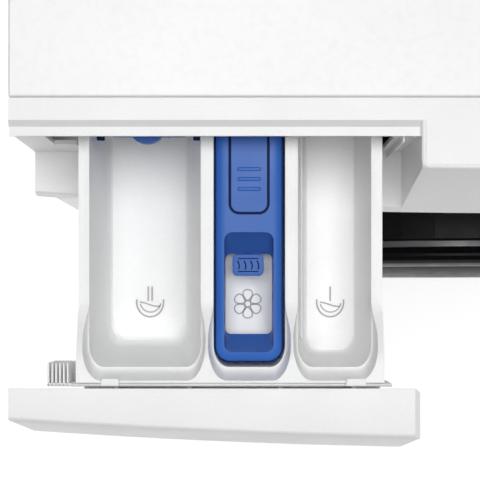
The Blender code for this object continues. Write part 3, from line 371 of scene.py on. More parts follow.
# Each slot: kind, colour, roughness, metallic.
SLOTS = {
    "worktop_white": ("painted", (0.86, 0.86, 0.86), 0.34, 0),
    "panel_white": ("painted", (0.84, 0.84, 0.84), 0.36, 0),
    "fascia_white": ("moulded", (0.91, 0.91, 0.91), 0.38, 0),
    "rear_grey": ("painted", (0.42, 0.43, 0.44), 0.42, 0.6),
    "base_grey": ("moulded", (0.16, 0.165, 0.17), 0.60, 0),
    "foot_rubber": ("rubber", (0.028, 0.028, 0.030), 0.78, 0),
    "window_black": ("gloss", (0.010, 0.011, 0.013), 0.10, 0),
    "board_green": ("moulded", (0.020, 0.110, 0.045), 0.42, 0),
    "knob_white": ("moulded", (0.80, 0.80, 0.81), 0.28, 0),
    "button_grey": ("moulded", (0.52, 0.53, 0.54), 0.36, 0),
    "tray_white": ("moulded", (0.91, 0.912, 0.91), 0.36, 0),
    "carrier_white": ("moulded", (0.89, 0.89, 0.89), 0.42, 0),
    "insert_blue": ("moulded", (0.026, 0.130, 0.500), 0.42, 0),
    "housing_grey": ("moulded", (0.55, 0.56, 0.57), 0.50, 0),
    "door_black": ("gloss", (0.002, 0.002, 0.003), 0.34, 0),
    "trim_grey": ("brushed", (0.075, 0.076, 0.079), 0.46, 0.55),
    "hinge_metal": ("brushed", (0.50, 0.50, 0.51), 0.36, 1),
    "hook_metal": ("brushed", (0.58, 0.58, 0.59), 0.30, 1),
    "lock_black": ("moulded", (0.025, 0.025, 0.027), 0.48, 0),
    "gasket_grey": ("rubber", (0.24, 0.245, 0.25), 0.52, 0),
    "tub_plastic": ("moulded", (0.46, 0.47, 0.48), 0.55, 0),
    "drum_steel": ("brushed", (0.66, 0.66, 0.67), 0.22, 1),
    "lifter_white": ("moulded", (0.70, 0.71, 0.72), 0.38, 0),
    "spider_alu": ("cast", (0.50, 0.51, 0.52), 0.46, 1),
    "bearing_steel": ("brushed", (0.55, 0.55, 0.56), 0.24, 1),
    "belt_black": ("rubber", (0.018, 0.018, 0.019), 0.66, 0),
    "motor_iron": ("cast", (0.30, 0.31, 0.33), 0.44, 0.9),
    "concrete": ("stone", (0.40, 0.395, 0.38), 0.88, 0),
    "heater_steel": ("brushed", (0.48, 0.46, 0.43), 0.32, 1),
    "spring_steel": ("brushed", (0.40, 0.41, 0.42), 0.34, 1),
    "damper_grey": ("moulded", (0.30, 0.31, 0.32), 0.46, 0),
    "hose_black": ("rubber", (0.030, 0.030, 0.032), 0.58, 0),
    "pump_white": ("moulded", (0.66, 0.66, 0.65), 0.46, 0),
    "cap_grey": ("moulded", (0.34, 0.35, 0.36), 0.42, 0),
    "valve_white": ("moulded", (0.68, 0.68, 0.66), 0.46, 0),
}
# Finishes of small parts that belong to one of the slots.
EXTRAS = {
    "screw_steel": ("brushed", (0.62, 0.62, 0.63), 0.28, 1),
    "print_grey": ("moulded", (0.16, 0.17, 0.18), 0.40, 0),
    # A near black navy: the colour of the lid's tab marks and the flap's pins, and painted shade in
    # the grip groove and in the gap round the lid.
    "navy_and_shade": ("moulded", (0.006, 0.020, 0.085), 0.42, 0),
    "lamp_white": ("moulded", (0.75, 0.82, 0.86), 0.40, 0),
    "seam_grey": ("moulded", (0.50, 0.50, 0.50), 0.50, 0),
    # A darker grey for the raised icon strokes: painted shade along their relief.
    "icon_relief_shade": ("moulded", (0.42, 0.42, 0.42), 0.42, 0),
}
# Slots whose plastic, print or painted shade reflects less than Blender's default.
SHEEN = {"insert_blue": 0.32, "navy_and_shade": 0.04, "icon_relief_shade": 0.20}
FINISHES = {}


def give(node, values):
    """Sets the values of a node's sockets by their names."""
    for socket, value in values.items():
        node.inputs[socket].default_value = value


class Shader:
    """A new material with its Principled shader, and short ways to add nodes."""

    def __init__(self, name):
        self.material = bpy.data.materials.new(name)
        self.material.use_nodes = True
        self.tree = self.material.node_tree
        self.shader = self.tree.nodes["Principled BSDF"]
        self.place = self.node("ShaderNodeTexCoord").outputs["Object"]

    def node(self, kind, links=(), **values):
        made = self.tree.nodes.new(kind)
        for key, value in values.items():
            if key in made.inputs:
                made.inputs[key].default_value = value
            else:
                setattr(made, key, value)
        for socket, source in links:
            self.tree.links.new(source, made.inputs[socket])
        return made

    def link(self, source, socket):
        self.tree.links.new(source, self.shader.inputs[socket])

    def noise(self, scale, detail=3.0, place=None, rough=0.55):
        made = self.node("ShaderNodeTexNoise", [("Vector", place or self.place)])
        give(made, {"Scale": scale, "Detail": detail, "Roughness": rough})
        return made.outputs["Fac"]

    def ramp(self, source, stops):
        made = self.node("ShaderNodeValToRGB", [("Fac", source)])
        elements = made.color_ramp.elements
        while len(elements) < len(stops):
            elements.new(0.5)
        for element, (at, colour) in zip(elements, stops):
            element.position = at
            element.color = (*colour, 1)
        return made.outputs["Color"]

    def remap(self, source, low_value, high_value):
        made = self.node("ShaderNodeMapRange", [("Value", source)])
        give(made, {"From Min": 0.25, "From Max": 0.75, "To Min": low_value, "To Max": high_value})
        return made.outputs["Result"]

    def stretched(self, factors):
        made = self.node("ShaderNodeMapping", [("Vector", self.place)])
        give(made, {"Scale": factors})
        return made.outputs["Vector"]

    def bump(self, source, depth, strength=0.6, under=None):
        made = self.node("ShaderNodeBump", [("Height", source)])
        give(made, {"Strength": strength, "Distance": depth})
        if under is not None:
            self.tree.links.new(under, made.inputs["Normal"])
        return made.outputs["Normal"]


def shades(colour, spread):
    """A darker, the plain and a lighter tone."""
    return [tuple(min(1.0, c * (1 + k * spread)) for c in colour) for k in (-1, 0, 1)]


def surface(name, kind, colour, rough, metallic):
    """A procedural finish: clouded colour, uneven gloss and a fine relief."""
    made = Shader(name)
    look = KINDS[kind]
    dark, plain, bright = shades(colour, look["spread"])
    cloud = made.noise(look["cloud"], 5.0)
    base = made.ramp(cloud, [(0.30, dark), (0.50, plain), (0.72, bright)])
    speck = made.noise(look["grain"] * 0.31, 2.0)
    tint = made.ramp(speck, [(0.25, (0.955,) * 3), (0.55, (1.0,) * 3)])
    mix = made.node("ShaderNodeMix", data_type="RGBA", blend_type="MULTIPLY")
    give(mix, {"Factor": 0.8})
    made.tree.links.new(base, mix.inputs["A"])
    made.tree.links.new(tint, mix.inputs["B"])
    made.link(mix.outputs["Result"], "Base Color")
    gloss = made.noise(look["cloud"] * 3.7, 4.0)
    made.link(
        made.remap(gloss, max(0.03, rough - look["rough"]), rough + look["rough"]),
        "Roughness",
    )
    place = made.place
    if "stretch" in look:
        place = made.stretched((1.0, look["stretch"], 1.0))
    grain = made.noise(look["grain"], 3.0, place)
    normal = made.bump(grain, look["depth"])
    if kind in ("cast", "stone", "rubber"):
        pits = made.node("ShaderNodeTexVoronoi", [("Vector", made.place)])
        give(pits, {"Scale": look["grain"] * 0.6})
        normal = made.bump(pits.outputs["Distance"], look["depth"] * 1.5, 0.5, normal)
    if kind == "painted":
        normal = made.bump(made.noise(160, 2.0), 0.00003, 0.25, normal)
    made.link(normal, "Normal")
    give(made.shader, {"Metallic": metallic})
    if kind == "painted":
        give(made.shader, {"Coat Weight": 0.35, "Coat Roughness": 0.18})
    if kind == "gloss":
        give(made.shader, {"Specular IOR Level": 0.10})
    return made


def translucent_tray(made):
    """Milky polypropylene: light goes a little way into it."""
    give(made.shader, {
        "Subsurface Weight": 0.25, "Subsurface Radius": (0.006, 0.006, 0.0055),
        "Subsurface Scale": 0.6,
    })


def door_glass_finish():
    """Smoked glass with faint smears."""
    made = Shader("door_glass")
    smear = made.noise(16, 4.0)
    made.link(
        made.ramp(smear, [(0.3, (0.50, 0.52, 0.54)), (0.7, (0.60, 0.62, 0.63))]),
        "Base Color",
    )
    made.link(made.remap(made.noise(42, 4.0), 0.02, 0.07), "Roughness")
    made.link(made.bump(made.noise(30, 2.0), 0.00006, 0.3), "Normal")
    give(made.shader, {"Transmission Weight": 0.92, "IOR": 1.47})
    return made.material


def circuit_finish():
    """A green board with paler traces and copper coloured pads."""
    made = surface("board_green", *SLOTS["board_green"])
    brick = made.node("ShaderNodeTexBrick", [("Vector", made.place)])
    give(brick, {
        "Scale": 70, "Color1": (0.020, 0.110, 0.045, 1), "Color2": (0.030, 0.140, 0.060, 1),
        "Mortar": (0.070, 0.230, 0.110, 1), "Mortar Size": 0.045,
    })
    made.link(brick.outputs["Color"], "Base Color")
    return made.material


def make_finishes():
    """Fills FINISHES with one material for each slot and each extra."""
    for name, (kind, colour, rough, metallic) in {**SLOTS, **EXTRAS}.items():
        made = surface(name, kind, colour, rough, metallic)
        if name == "tray_white":
            translucent_tray(made)
        if name in SHEEN:
            give(made.shader, {"Specular IOR Level": SHEEN[name]})
        if name == "lamp_white":
            give(made.shader, {"Emission Color": (0.75, 0.88, 1.0, 1), "Emission Strength": 0.5})
        FINISHES[name] = made.material
    FINISHES["door_glass"] = door_glass_finish()
    FINISHES["board_green"] = circuit_finish()


def paint(obj, finish):
    obj.data.materials.clear()
    obj.data.materials.append(FINISHES[finish])


def fit(obj, body, slot, stands_for=(), finish=None):
    """Gives a piece its finish and its body, and hides the CAD nodes it stands for."""
    paint(obj, finish or slot)
    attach(obj, body)
    if stands_for:
        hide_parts(*stands_for)
    return obj


def finish_cad_nodes():
    """Gives every CAD node its slot's finish and smooth round faces."""
    slots = {}
    for entry in frame["record"]["subparts"]:
        slots[entry["node"]] = entry["material_slot"]
    for name, obj in NODES.items():
        paint(obj, slots[name])
        shade(obj, 30)


# ---------------------------------------------------------------- stage


def build_stage():
    """A pale floor that sweeps up into a backdrop far behind the object."""
    profile = [(0.02, 0.0), (1.0, 0.0), (3.0, 0.0), (5.0, 0.0)]
    profile += [(5.0 + 2.2 * math.sin(a), 2.2 - 2.2 * math.cos(a)) for a in (0.4, 0.8, 1.2, 1.571)]
    profile += [(7.2, 5.5)]
    shape = bmesh.new()
    rings = []
    for i in range(96):
        turn = 2 * math.pi * i / 96
        ring = [shape.verts.new((r * math.cos(turn), r * math.sin(turn), z)) for r, z in profile]
        rings.append(ring)
    for i in range(96):
        first, second = rings[i], rings[(i + 1) % 96]
        for k in range(len(profile) - 1):
            shape.faces.new((first[k], second[k], second[k + 1], first[k + 1]))
    shape.faces.new([ring[0] for ring in rings])
    floor = shade(mesh_object("floor", shape), 60)
    made = Shader("floor_pale")
    made.link(made.ramp(made.noise(3, 4.0), [(0.3, (0.86,) * 3), (0.7, (0.89,) * 3)]), "Base Color")
    made.link(made.remap(made.noise(60, 3.0), 0.52, 0.66), "Roughness")
    made.link(made.bump(made.noise(350, 3.0), 0.0002, 0.3), "Normal")
    give(made.shader, {"Emission Color": (1, 1, 1, 1)})
    distance = made.node("ShaderNodeVectorMath", operation="LENGTH")
    made.tree.links.new(made.place, distance.inputs[0])
    fade = made.node("ShaderNodeMapRange", [("Value", distance.outputs["Value"])])
    give(fade, {"From Min": 0.9, "From Max": 4.5, "To Min": 0.59, "To Max": 0.08})
    made.link(fade.outputs["Result"], "Emission Strength")
    floor.data.materials.append(made.material)

    scene = bpy.context.scene
    scene.view_settings.view_transform = "Standard"
    world = bpy.data.worlds.new("studio")
    world.use_nodes = True
    backdrop = world.node_tree.nodes["Background"]
    give(backdrop, {"Color": (1.0, 1.0, 1.0, 1), "Strength": 0.11})
    scene.world = world


def soft_light(name, place, aim, size, power):
    lamp = bpy.data.lights.new(name, "AREA")
    lamp.shape = "DISK"
    lamp.size = size
    lamp.energy = power
    obj = placed(name, lamp)
    obj.location = place
    obj.rotation_euler = (Vector(aim) - Vector(place)).to_track_quat("-Z", "Y").to_euler()


def build_lights():
    soft_light("light_above", (-0.05, 0.0, 3.5), (-0.05, 0, 0.8), 2.0, 56)
    soft_light("light_front", (-1.0, -3.2, 1.8), (0, 0, 0.5), 2.4, 1)
    soft_light("light_side", (3.2, 0.6, 1.9), (0, 0, 0.5), 2.2, 3)
    soft_light("light_back", (-1.4, 3.0, 2.0), (0, 0, 0.5), 2.2, 6)


def build_camera():
    """Straight down over the open drawer, framed off its axis."""
    lens = bpy.data.cameras.new("camera")
    lens.sensor_width = 36
    lens.lens = 105.4
    lens.shift_y = 0.1333
    lens.clip_start = 0.05
    obj = placed("camera", lens)
    obj.location = (-0.176, SEAM_Y - 0.1105, TOP_Z + 0.750)
    bpy.context.scene.camera = obj


# ---------------------------------------------------------------- drawer

TRAY_X = (low("drawer_tray").x, high("drawer_tray").x)
TRAY_FRONT = low("drawer_tray").y
TRAY_BASE_Z = low("drawer_tray").z
TRAY_TOP_Z = high("drawer_tray").z
RIM_Z = TOP_Z - 0.024
FLOOR_Z = TRAY_BASE_Z + 0.0035
RIM_FRONT = TRAY_FRONT + 0.0081
POCKET_BACK = TRAY_FRONT + 0.1603
RISE_START = TRAY_FRONT + 0.0465
RISE_END = TRAY_FRONT + 0.0080
BASIN_Z = FLOOR_Z + 0.0330
ICON_Y = TRAY_FRONT + 0.0440
ICON_HEIGHT = 0.0005
CORNER = (0.0082, 0.0125)

# Each compartment: its x at the rim, and how far its floor is inset on the left,
# right and front.
POCKETS = {
    "main": ((-0.2591, -0.1976), (0.0077, 0.0122, 0.0160)),
    "softener": ((-0.1906, -0.1511), (0.0040, 0.0040, 0.0090)),
    "prewash": ((-0.1441, -0.1037), (0.0078, 0.0048, 0.0075)),
}


def shoulder_height(y):
    """How far the tray's top stands over the rim: it climbs towards the front."""
    return (TRAY_TOP_Z - RIM_Z) * smooth((RISE_START - y) / (RISE_START - RISE_END))


def pocket_outline(x, front, back, rx, ry):
    """A compartment's plan: elliptic front corners, small round back corners."""
    points = [(x[1] - 0.004, back), (x[0] + 0.004, back)]
    points += arc(x[0] + 0.004, back - 0.004, 0.004, 90, 180, 4)[1:]
    side = [0.05, 0.25, 0.5, 0.62] + [0.66 + 0.03 * i for i in range(11)]
    start, end = back - 0.004, front + ry
    points += [(x[0], start + (end - start) * t) for t in side]
    points += arc(x[0] + rx, front + ry, rx, 180, 270, 14, ry)
    points += arc(x[1] - rx, front + ry, rx, 270, 360, 14, ry)
    points += [(x[1], start + (end - start) * t) for t in reversed(side)]
    points += arc(x[1] - 0.004, back - 0.004, 0.004, 0, 90, 4)[:-1]
    return points


def pocket_cutter(name, x, insets):
    """The space in a compartment and the cove that opens from its rim."""
    left, right, front = insets
    loops = []
    for s in (1.0, 0.985, 0.95, 0.90, 0.85, 0.80, 0.60, 0.30, 0.05, 0.012):
        bend = 0.0 if s <= 0.8 else 1 - math.sqrt(max(0.0, 1 - ((s - 0.8) / 0.2) ** 2))
        share = 0.58 * min(s, 0.8) / 0.8 + 0.42 * bend
        x_now = (x[0] + left * share, x[1] - right * share)
        outline = pocket_outline(
            x_now, RIM_FRONT + front * share, POCKET_BACK - 0.004 * share, *CORNER
        )
        z = RIM_Z - (RIM_Z - FLOOR_Z) * s
        loops.append([(px, py, z) for px, py in outline])
    inner = pocket_outline(x, RIM_FRONT, POCKET_BACK, *CORNER)
    outer = pocket_outline(grown(x, 0.0029), TRAY_FRONT + 0.0011, POCKET_BACK, 0.0100, 0.0200)
    steps = 9
    for k in range(steps + 1):
        t = k / steps
        loop = []
        for (ax, ay), (bx, by) in zip(inner, outer):
            flare = smooth((RISE_START - 0.002 - ay) / 0.020) * t
            px = ax + (bx - ax) * flare
            py = ay + (by - ay) * flare
            loop.append((px, py, RIM_Z + 0.0004 * t + shoulder_height(py) * t ** 2.3))
        loops.append(loop)
    loops.append([(px, py, z + 0.0060) for px, py, z in loops[-1]])
    return loft(name, loops)


def tray_body():
    """The tray's outer block, its top climbing to the shoulder at the front."""
    ys = [TRAY_FRONT, TRAY_FRONT + 0.0040]
    ys += [RISE_END + (RISE_START - RISE_END) * i / 14 for i in range(15)]
    ys += [POCKET_BACK + 0.0040]
    top = [(y, RIM_Z + shoulder_height(y)) for y in ys]
    outline = [(POCKET_BACK + 0.0040, TRAY_BASE_Z + 0.0080), (POCKET_BACK - 0.006, TRAY_BASE_Z)]
    outline += [(TRAY_FRONT + 0.0060, TRAY_BASE_Z), (TRAY_FRONT, TRAY_BASE_Z + 0.0080)]
    return extrude("tray_shell", outline + top, "X", TRAY_X)


def build_tray():
    """The milky tray: three compartments with coved rims and flared dividers."""
    tray = tray_body()
    cut(tray, *[pocket_cutter(name, *shape) for name, shape in POCKETS.items()])
    side_steps = []
    for side in (0, 1):
        edge = TRAY_X[side]
        out = -1 if side == 0 else 1
        inner = edge - out * 0.0032
        plan = [
            (inner, POCKET_BACK + 0.010),
            (edge + out * 0.002, POCKET_BACK + 0.010),
            (edge + out * 0.002, TRAY_FRONT + 0.0370),
            (edge - out * 0.0002, TRAY_FRONT + 0.0385),
            (inner + out * 0.0003, TRAY_FRONT + 0.0460),
            (inner, TRAY_FRONT + 0.0500),
        ]
        side_steps.append(extrude("side_step", plan, "Z", (RIM_Z - 0.0012, RIM_Z + 0.02)))
    cut(tray, *side_steps)
    rails = []
    for side in (0, 1):
        x = (TRAY_X[0], TRAY_X[0] + 0.0045) if side == 0 else (TRAY_X[1] - 0.0045, TRAY_X[1])
        y = (POCKET_BACK - 0.001, high("drawer_tray").y)
        rails.append(block("rail", x, y, (RIM_Z - 0.0300, RIM_Z - 0.0100), 0.0006))
    fuse(tray, *rails)
    shade(tray, 28)
    soften(tray, 0.00025, 2, 38)
    fit(tray, "drawer", "tray_white", ["drawer_tray"])
    build_tray_ledge()
    build_icons()


def build_tray_ledge():
    """A narrow step half way down the prewash compartment's left wall."""
    x = POCKETS["prewash"][0][0]
    y = (RIM_FRONT + 0.0150, POCKET_BACK - 0.0060)
    outline = [(x - 0.0006, RIM_Z - 0.0300), (x + 0.0040, RIM_Z - 0.0310)]
    outline += [(x + 0.0046, RIM_Z - 0.0400), (x + 0.0030, RIM_Z - 0.0420)]
    ledge = shade(extrude("prewash_ledge", outline, "Y", y))
    soften(ledge, 0.0004)
    fit(ledge, "drawer", "tray_white")


def wave(x, y, reach, height, z, steps=14):
    """The water line across a bowl."""
    points = []
    for i in range(steps + 1):
        t = i / steps
        points.append((x - reach + 2 * reach * t, y + height * math.cos(math.pi * 1.15 * t), z))
    return points


def wash_icon(name, x, y, z, bars):
    """A bowl of water under one or two strokes, raised on the floor."""
    parts = []
    outer = [(px, py, z) for px, py in arc(x, y, 0.0080, 170, 370, 26, 0.0088)]
    inner = [(px, py, z) for px, py in arc(x + 0.0002, y + 0.0004, 0.0062, 195, 350, 20, 0.0064)]
    parts.append(stroke("bowl", outer, 0.0010, ICON_HEIGHT))
    parts.append(stroke("water", inner, 0.0008, ICON_HEIGHT))
    ripple = wave(x, y - 0.0014, 0.0061, 0.0012, z)
    parts.append(stroke("wave", ripple, 0.0009, ICON_HEIGHT))
    for i in range(bars):
        bar_x = x + (i - (bars - 1) / 2) * 0.0023
        line = [(bar_x, y + 0.0006 + 0.0086 * t / 6, z) for t in range(7)]
        parts.append(stroke("bar", line, 0.0010, ICON_HEIGHT))
    # The raised strokes take a darker grey: painted shade along their relief.
    icon = shade(joined(name, parts), 25)
    return fit(icon, "drawer", "tray_white", finish="icon_relief_shade")


def flower_icon(name, x, y, z):
    """Six petals round a heart, raised on a floor."""
    parts = []
    for k in range(6):
        angle = math.radians(90 + 60 * k)
        petal = []
        for i in range(22):
            turn = 2 * math.pi * i / 22
            along = 0.0050 + 0.0031 * math.cos(turn)
            across = 0.0032 * math.sin(turn) * (0.80 + 0.30 * math.cos(turn))
            px = x + along * math.cos(angle) - across * math.sin(angle)
            py = y + along * math.sin(angle) + across * math.cos(angle)
            petal.append((px, py, z))
        parts.append(stroke("petal", petal, 0.0008, ICON_HEIGHT, closed=True))
    ring = []
    for i in range(24):
        turn = 2 * math.pi * i / 24
        ring.append((x + 0.0017 * math.cos(turn), y + 0.0017 * math.sin(turn), z))
    parts.append(stroke("heart", ring, 0.0006, ICON_HEIGHT, closed=True))
    # The raised strokes take a darker grey: painted shade along their relief.
    icon = shade(joined(name, parts), 25)
    return fit(icon, "drawer", "tray_white", finish="icon_relief_shade")


def build_icons():
    """The signs on the floors of the three compartments."""
    wash_icon("icon_main_wash", -0.2293, ICON_Y, FLOOR_Z, 2)
    wash_icon("icon_prewash", -0.1225, ICON_Y, FLOOR_Z, 1)
    build_basin()
    flower_icon("icon_softener", -0.1716, TRAY_FRONT + 0.0429, BASIN_Z)


def build_basin():
    """The shallow bowl under the blue lid's window."""
    x = grown(POCKETS["softener"][0], -0.0019)
    y = (RIM_FRONT + 0.0045, TRAY_FRONT + 0.1000)
    loops = []
    steps = (
        (0.0012, -0.0022), (0.0, -0.0018), (0.0, 0.0040),
        (0.0010, 0.0040), (0.0024, 0.0012), (0.0050, 0.0),
    )
    for inset, z in steps:
        outline = rounded(grown(x, -inset), grown(y, -inset), 0.0070 - 0.5 * inset, 6)
        loops.append([(px, py, BASIN_Z + z) for px, py in outline])
    fit(shade(loft("softener_basin", loops), 35), "drawer", "tray_white")


# ---------------------------------------------------------------- blue insert

INSERT_X = (-0.1893, -0.1529)
INSERT_FRONT = TRAY_FRONT + 0.0114
INSERT_BACK = high("softener_insert").y
INSERT_TOP = RIM_Z + 0.0008
SKIRT_Z = INSERT_TOP - 0.0180
WINDOW_X = (-0.1847, -0.1575)
WINDOW_Y = (TRAY_FRONT + 0.0161, TRAY_FRONT + 0.0825)


def insert_loops():
    """The lid's crowned top from its skirt to its middle."""
    loops = []
    steps = (
        (0.0016, SKIRT_Z),
        (0.0006, INSERT_TOP - 0.0070),
        (0.0000, INSERT_TOP - 0.0024),
        (0.0003, INSERT_TOP - 0.0017),
        (0.0010, INSERT_TOP - 0.0011),
        (0.0022, INSERT_TOP - 0.0006),
        (0.0036, INSERT_TOP - 0.00025),
        (0.0052, INSERT_TOP - 0.00005),
        (0.0070, INSERT_TOP),
    )
    for inset, z in steps:
        radius = 0.0078 - 0.6 * inset
        outline = rounded(
            grown(INSERT_X, -inset),
            grown((INSERT_FRONT, INSERT_BACK), -inset),
            radius,
            9,
        )
        loops.append([(px, py, z) for px, py in outline])
    return loops


def window_cutter():
    """The funnel: steep sides, and slopes at its front and back."""
    loops = []
    for t in (0.0, 0.12, 0.30, 0.55, 0.80, 0.93, 1.0):
        ease = 1 - (1 - t) ** 1.25
        z = INSERT_TOP + 0.0005 - 0.0205 * (1 - t)
        span = (WINDOW_Y[0] + 0.0112 * (1 - ease), WINDOW_Y[1] - 0.0130 * (1 - ease))
        outline = rounded(grown(WINDOW_X, -0.0006 * (1 - t)), span, 0.0030 + 0.0016 * t, 6)
        loops.append([(px, py, z) for px, py in outline])
    loops.append([(px, py, INSERT_TOP + 0.006) for px, py, _ in loops[-1]])
    return loft("funnel", loops)


def capsule(name, x, y, half_length, half_width, z, height):
    """A rounded bar with sloping edges, lying along X."""
    loops = []
    for inset, level in (
        (0.0, -0.0003), (0.0003, height * 0.6), (0.0006, height * 0.9), (0.0010, height),
    ):
        outline = []
        reach = half_length - half_width
        for side, start in ((1, -90), (-1, 90)):
            radius = half_width - inset
            outline += arc(x + side * reach, y, radius, start, start + 180, 8)
        loops.append([(px, py, z + level) for px, py in outline])
    return shade(loft(name, loops), 40)


def hairpin(x, front, back, turn, steps):
    """A path from the back round the front's two rounded corners, and back again."""
    path = [(x[0], back), (x[0], front + 0.0300)]
    path += arc(x[0] + turn, front + turn, turn, 180, 270, steps)
    path += arc(x[1] - turn, front + turn, turn, 270, 360, steps)
    return path + [(x[1], front + 0.0300), (x[1], back)]


def build_insert():
    """The blue lid with its window, its grip and the siphon's stem."""
    lid = loft("siphon_lid", insert_loops())
    cut(lid, window_cutter())
    hollow_y = (WINDOW_Y[1] + 0.0030, INSERT_BACK - 0.0050)
    cut(
        lid,
        block("under", grown(INSERT_X, -0.0042), hollow_y, (SKIRT_Z - 0.001, INSERT_TOP - 0.0038)),
    )
    groove_x, front = (-0.1816, -0.1604), TRAY_FRONT + 0.0928
    path = hairpin(groove_x, front, INSERT_BACK + 0.002, 0.0052, 8)
    groove = stroke("groove", [(x, y, INSERT_TOP - 0.0024) for x, y in path], 0.0017, 0.0060)
    cut(lid, groove)
    stem_place = (-0.1709, SEAM_Y - 0.0280, FLOOR_Z + 0.0040)
    stem_length = INSERT_TOP - 0.0025 - stem_place[2]
    profile = [(0, 0), (0.0060, 0), (0.0070, 0.0100), (0.0070, stem_length), (0, stem_length)]
    fuse(lid, lathe("siphon", profile, stem_place, (0, 0, 1), 32))
    shade(lid, 34)
    soften(lid, 0.00022, 2, 40)
    fit(lid, "siphon", "insert_blue", ["softener_insert"])
    bars = []
    for k in range(3):
        y = TRAY_FRONT + 0.1061 + 0.00545 * k
        bars.append(capsule("bar", -0.1710, y, 0.0067, 0.00125, INSERT_TOP, 0.0006))
    fit(joined("siphon_grip_bars", bars), "siphon", "insert_blue")
    build_insert_tab()
    # A dark navy stroke on the grip groove's floor: painted shadow in the groove.
    floor_path = hairpin(groove_x, front, INSERT_BACK - 0.0010, 0.0052, 8)
    floor_line = [(x, y, INSERT_TOP - 0.00235) for x, y in floor_path]
    shadow = stroke("siphon_groove_shadow", floor_line, 0.0015, 0.0010)
    fit(shadow, "siphon", "insert_blue", finish="navy_and_shade")
    build_insert_gap_shade()


def build_insert_gap_shade():
    """A dark navy strip round the lid, just under its edge: painted shade in the gap between the
    lid and its compartment.
    """
    x = grown(INSERT_X, 0.0002)
    path = hairpin(x, INSERT_FRONT - 0.0002, INSERT_BACK - 0.0020, 0.0080, 10)
    gap_shade = stroke("siphon_gap_shade", [(px, py, INSERT_TOP - 0.0060) for px, py in path], 0.0017, 0.0024)
    fit(gap_shade, "siphon", "insert_blue", finish="navy_and_shade")


def build_insert_tab():
    """The tongue at the back of the window, with generic raised marks."""
    x, z = (-0.1801, -0.1629), INSERT_TOP - 0.0088
    y = (TRAY_FRONT + 0.0585, TRAY_FRONT + 0.0705)
    outline = rounded(x, y, 0.0026, 6)
    loops = []
    for inset, level in (
        (0.0004, -0.0024), (0.0, -0.0019), (0.0, -0.0006), (0.0003, -0.0001), (0.0008, 0.0),
    ):
        middle = Vector(((x[0] + x[1]) / 2, (y[0] + y[1]) / 2))
        loop = []
        for px, py in outline:
            toward = (middle - Vector((px, py))).normalized() * inset
            loop.append((px + toward.x, py + toward.y, z + level))
        loops.append(loop)
    tab = shade(loft("siphon_tab", loops), 40)
    fit(tab, "siphon", "insert_blue")
    marks = []
    for k in range(4):
        px = x[0] + 0.0032 + 0.0036 * k
        points = [(px + 0.0006 * math.sin(t), y[0] + 0.0036 + 0.0012 * t, z) for t in range(5)]
        marks.append(stroke("mark", points, 0.0008, 0.0004))
    for k in range(2):
        line_y = y[0] + 0.0024 + 0.0072 * k
        line = [(x[0] + 0.0030 + 0.0019 * t, line_y, z) for t in range(7)]
        marks.append(stroke("mark", line, 0.0006, 0.0004))
    fit(shade(joined("siphon_tab_marks", marks), 25), "siphon", "insert_blue", finish="navy_and_shade")


def build_flap():
    """The powder flap: a ribbed plate with a half round finger lip on top."""
    box_low, box_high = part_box("detergent_flap")
    y = (box_low.y, box_high.y)
    x = (box_low.x, box_high.x)
    top = RIM_Z - 0.0010
    foot = box_low.z
    outline = [(x[0], top), (x[0] + 0.0058, foot + 0.004), (x[0] + 0.0075, foot + 0.0010)]
    outline += [(x[0] + 0.0095, foot), (x[1] - 0.0095, foot), (x[1] - 0.0075, foot + 0.0010)]
    outline += [(x[1] - 0.0058, foot + 0.004), (x[1], top)]
    plate = extrude("flap_plate", outline, "Y", y)
    middle = (x[0] + x[1]) / 2 + 0.0012
    reach = 0.0098
    lip = [(middle + reach, y[1]), (middle - reach, y[1])]
    lip += arc(middle, y[0] + 0.0002, reach, 180, 360, 14, 0.0086)
    fuse(plate, extrude("lip", lip, "Z", (RIM_Z - 0.0035, RIM_Z + 0.0028)))
    ribs = []
    for k in range(3):
        rib_x = middle - 0.0100 + 0.0100 * k
        rib_y = (y[0] - 0.0008, y[0] + 0.0003)
        ribs.append(block("rib", grown((rib_x, rib_x), 0.0006), rib_y, (foot + 0.004, top - 0.006)))
    fuse(plate, *ribs)
    shade(soften(plate, 0.0003), 35)
    fit(plate, "powder_flap", "insert_blue", ["detergent_flap"])
    # The pins are drawn dark navy.
    pins = []
    for pin_x in ((-0.2553, -0.2509), (-0.2019, -0.1980)):
        pin_y = (y[0] - 0.0060, y[0] + 0.0003)
        pins.append(block("pin", pin_x, pin_y, (RIM_Z - 0.0060, RIM_Z - 0.0032), 0.0005))
    fit(shade(joined("flap_pins", pins)), "powder_flap", "insert_blue", finish="navy_and_shade")


# ---------------------------------------------------------------- drawer front

FRONT_X = (low("drawer_front").x, high("drawer_front").x)
FRONT_FOOT = low("drawer_front").z
FRONT_BACK = SEAM_Y - 0.0126 + DRAWER_PULL
FRONT_WALL = 0.0025
CARRIER_TOP = TOP_Z - 0.0125


def front_face(x, z):
    """Y of the drawer front's face, which stands a little proud of the console's."""
    return face_y(x, z, 0.0014) + DRAWER_PULL


def front_section(x):
    """The drawer front's shell at one place along its width."""
    t = FRONT_WALL
    edge = 0.0022
    points = [(FRONT_BACK, TOP_Z - 0.0003), (FRONT_BACK - 0.0003, TOP_Z)]
    for k in range(7):
        turn = math.radians(90 * k / 6)
        z = TOP_Z - edge * (1 - math.cos(turn))
        points.append((front_face(x, z) + edge * (1 - math.sin(turn)), z))
    for at, inset, level in (
        (0.0020, 0, 0.0020), (0.0006, 0.0006, 0.0006), (0, 0.0020, 0), (0, 0.0100, 0),
        (0, 0.0100, t), (t, t, t),
    ):
        points.append((front_face(x, FRONT_FOOT + at) + inset, FRONT_FOOT + level))
    points.append((front_face(x, TOP_Z - t) + t + 0.001, TOP_Z - t))
    return points + [(FRONT_BACK - 0.0026, TOP_Z - t)]


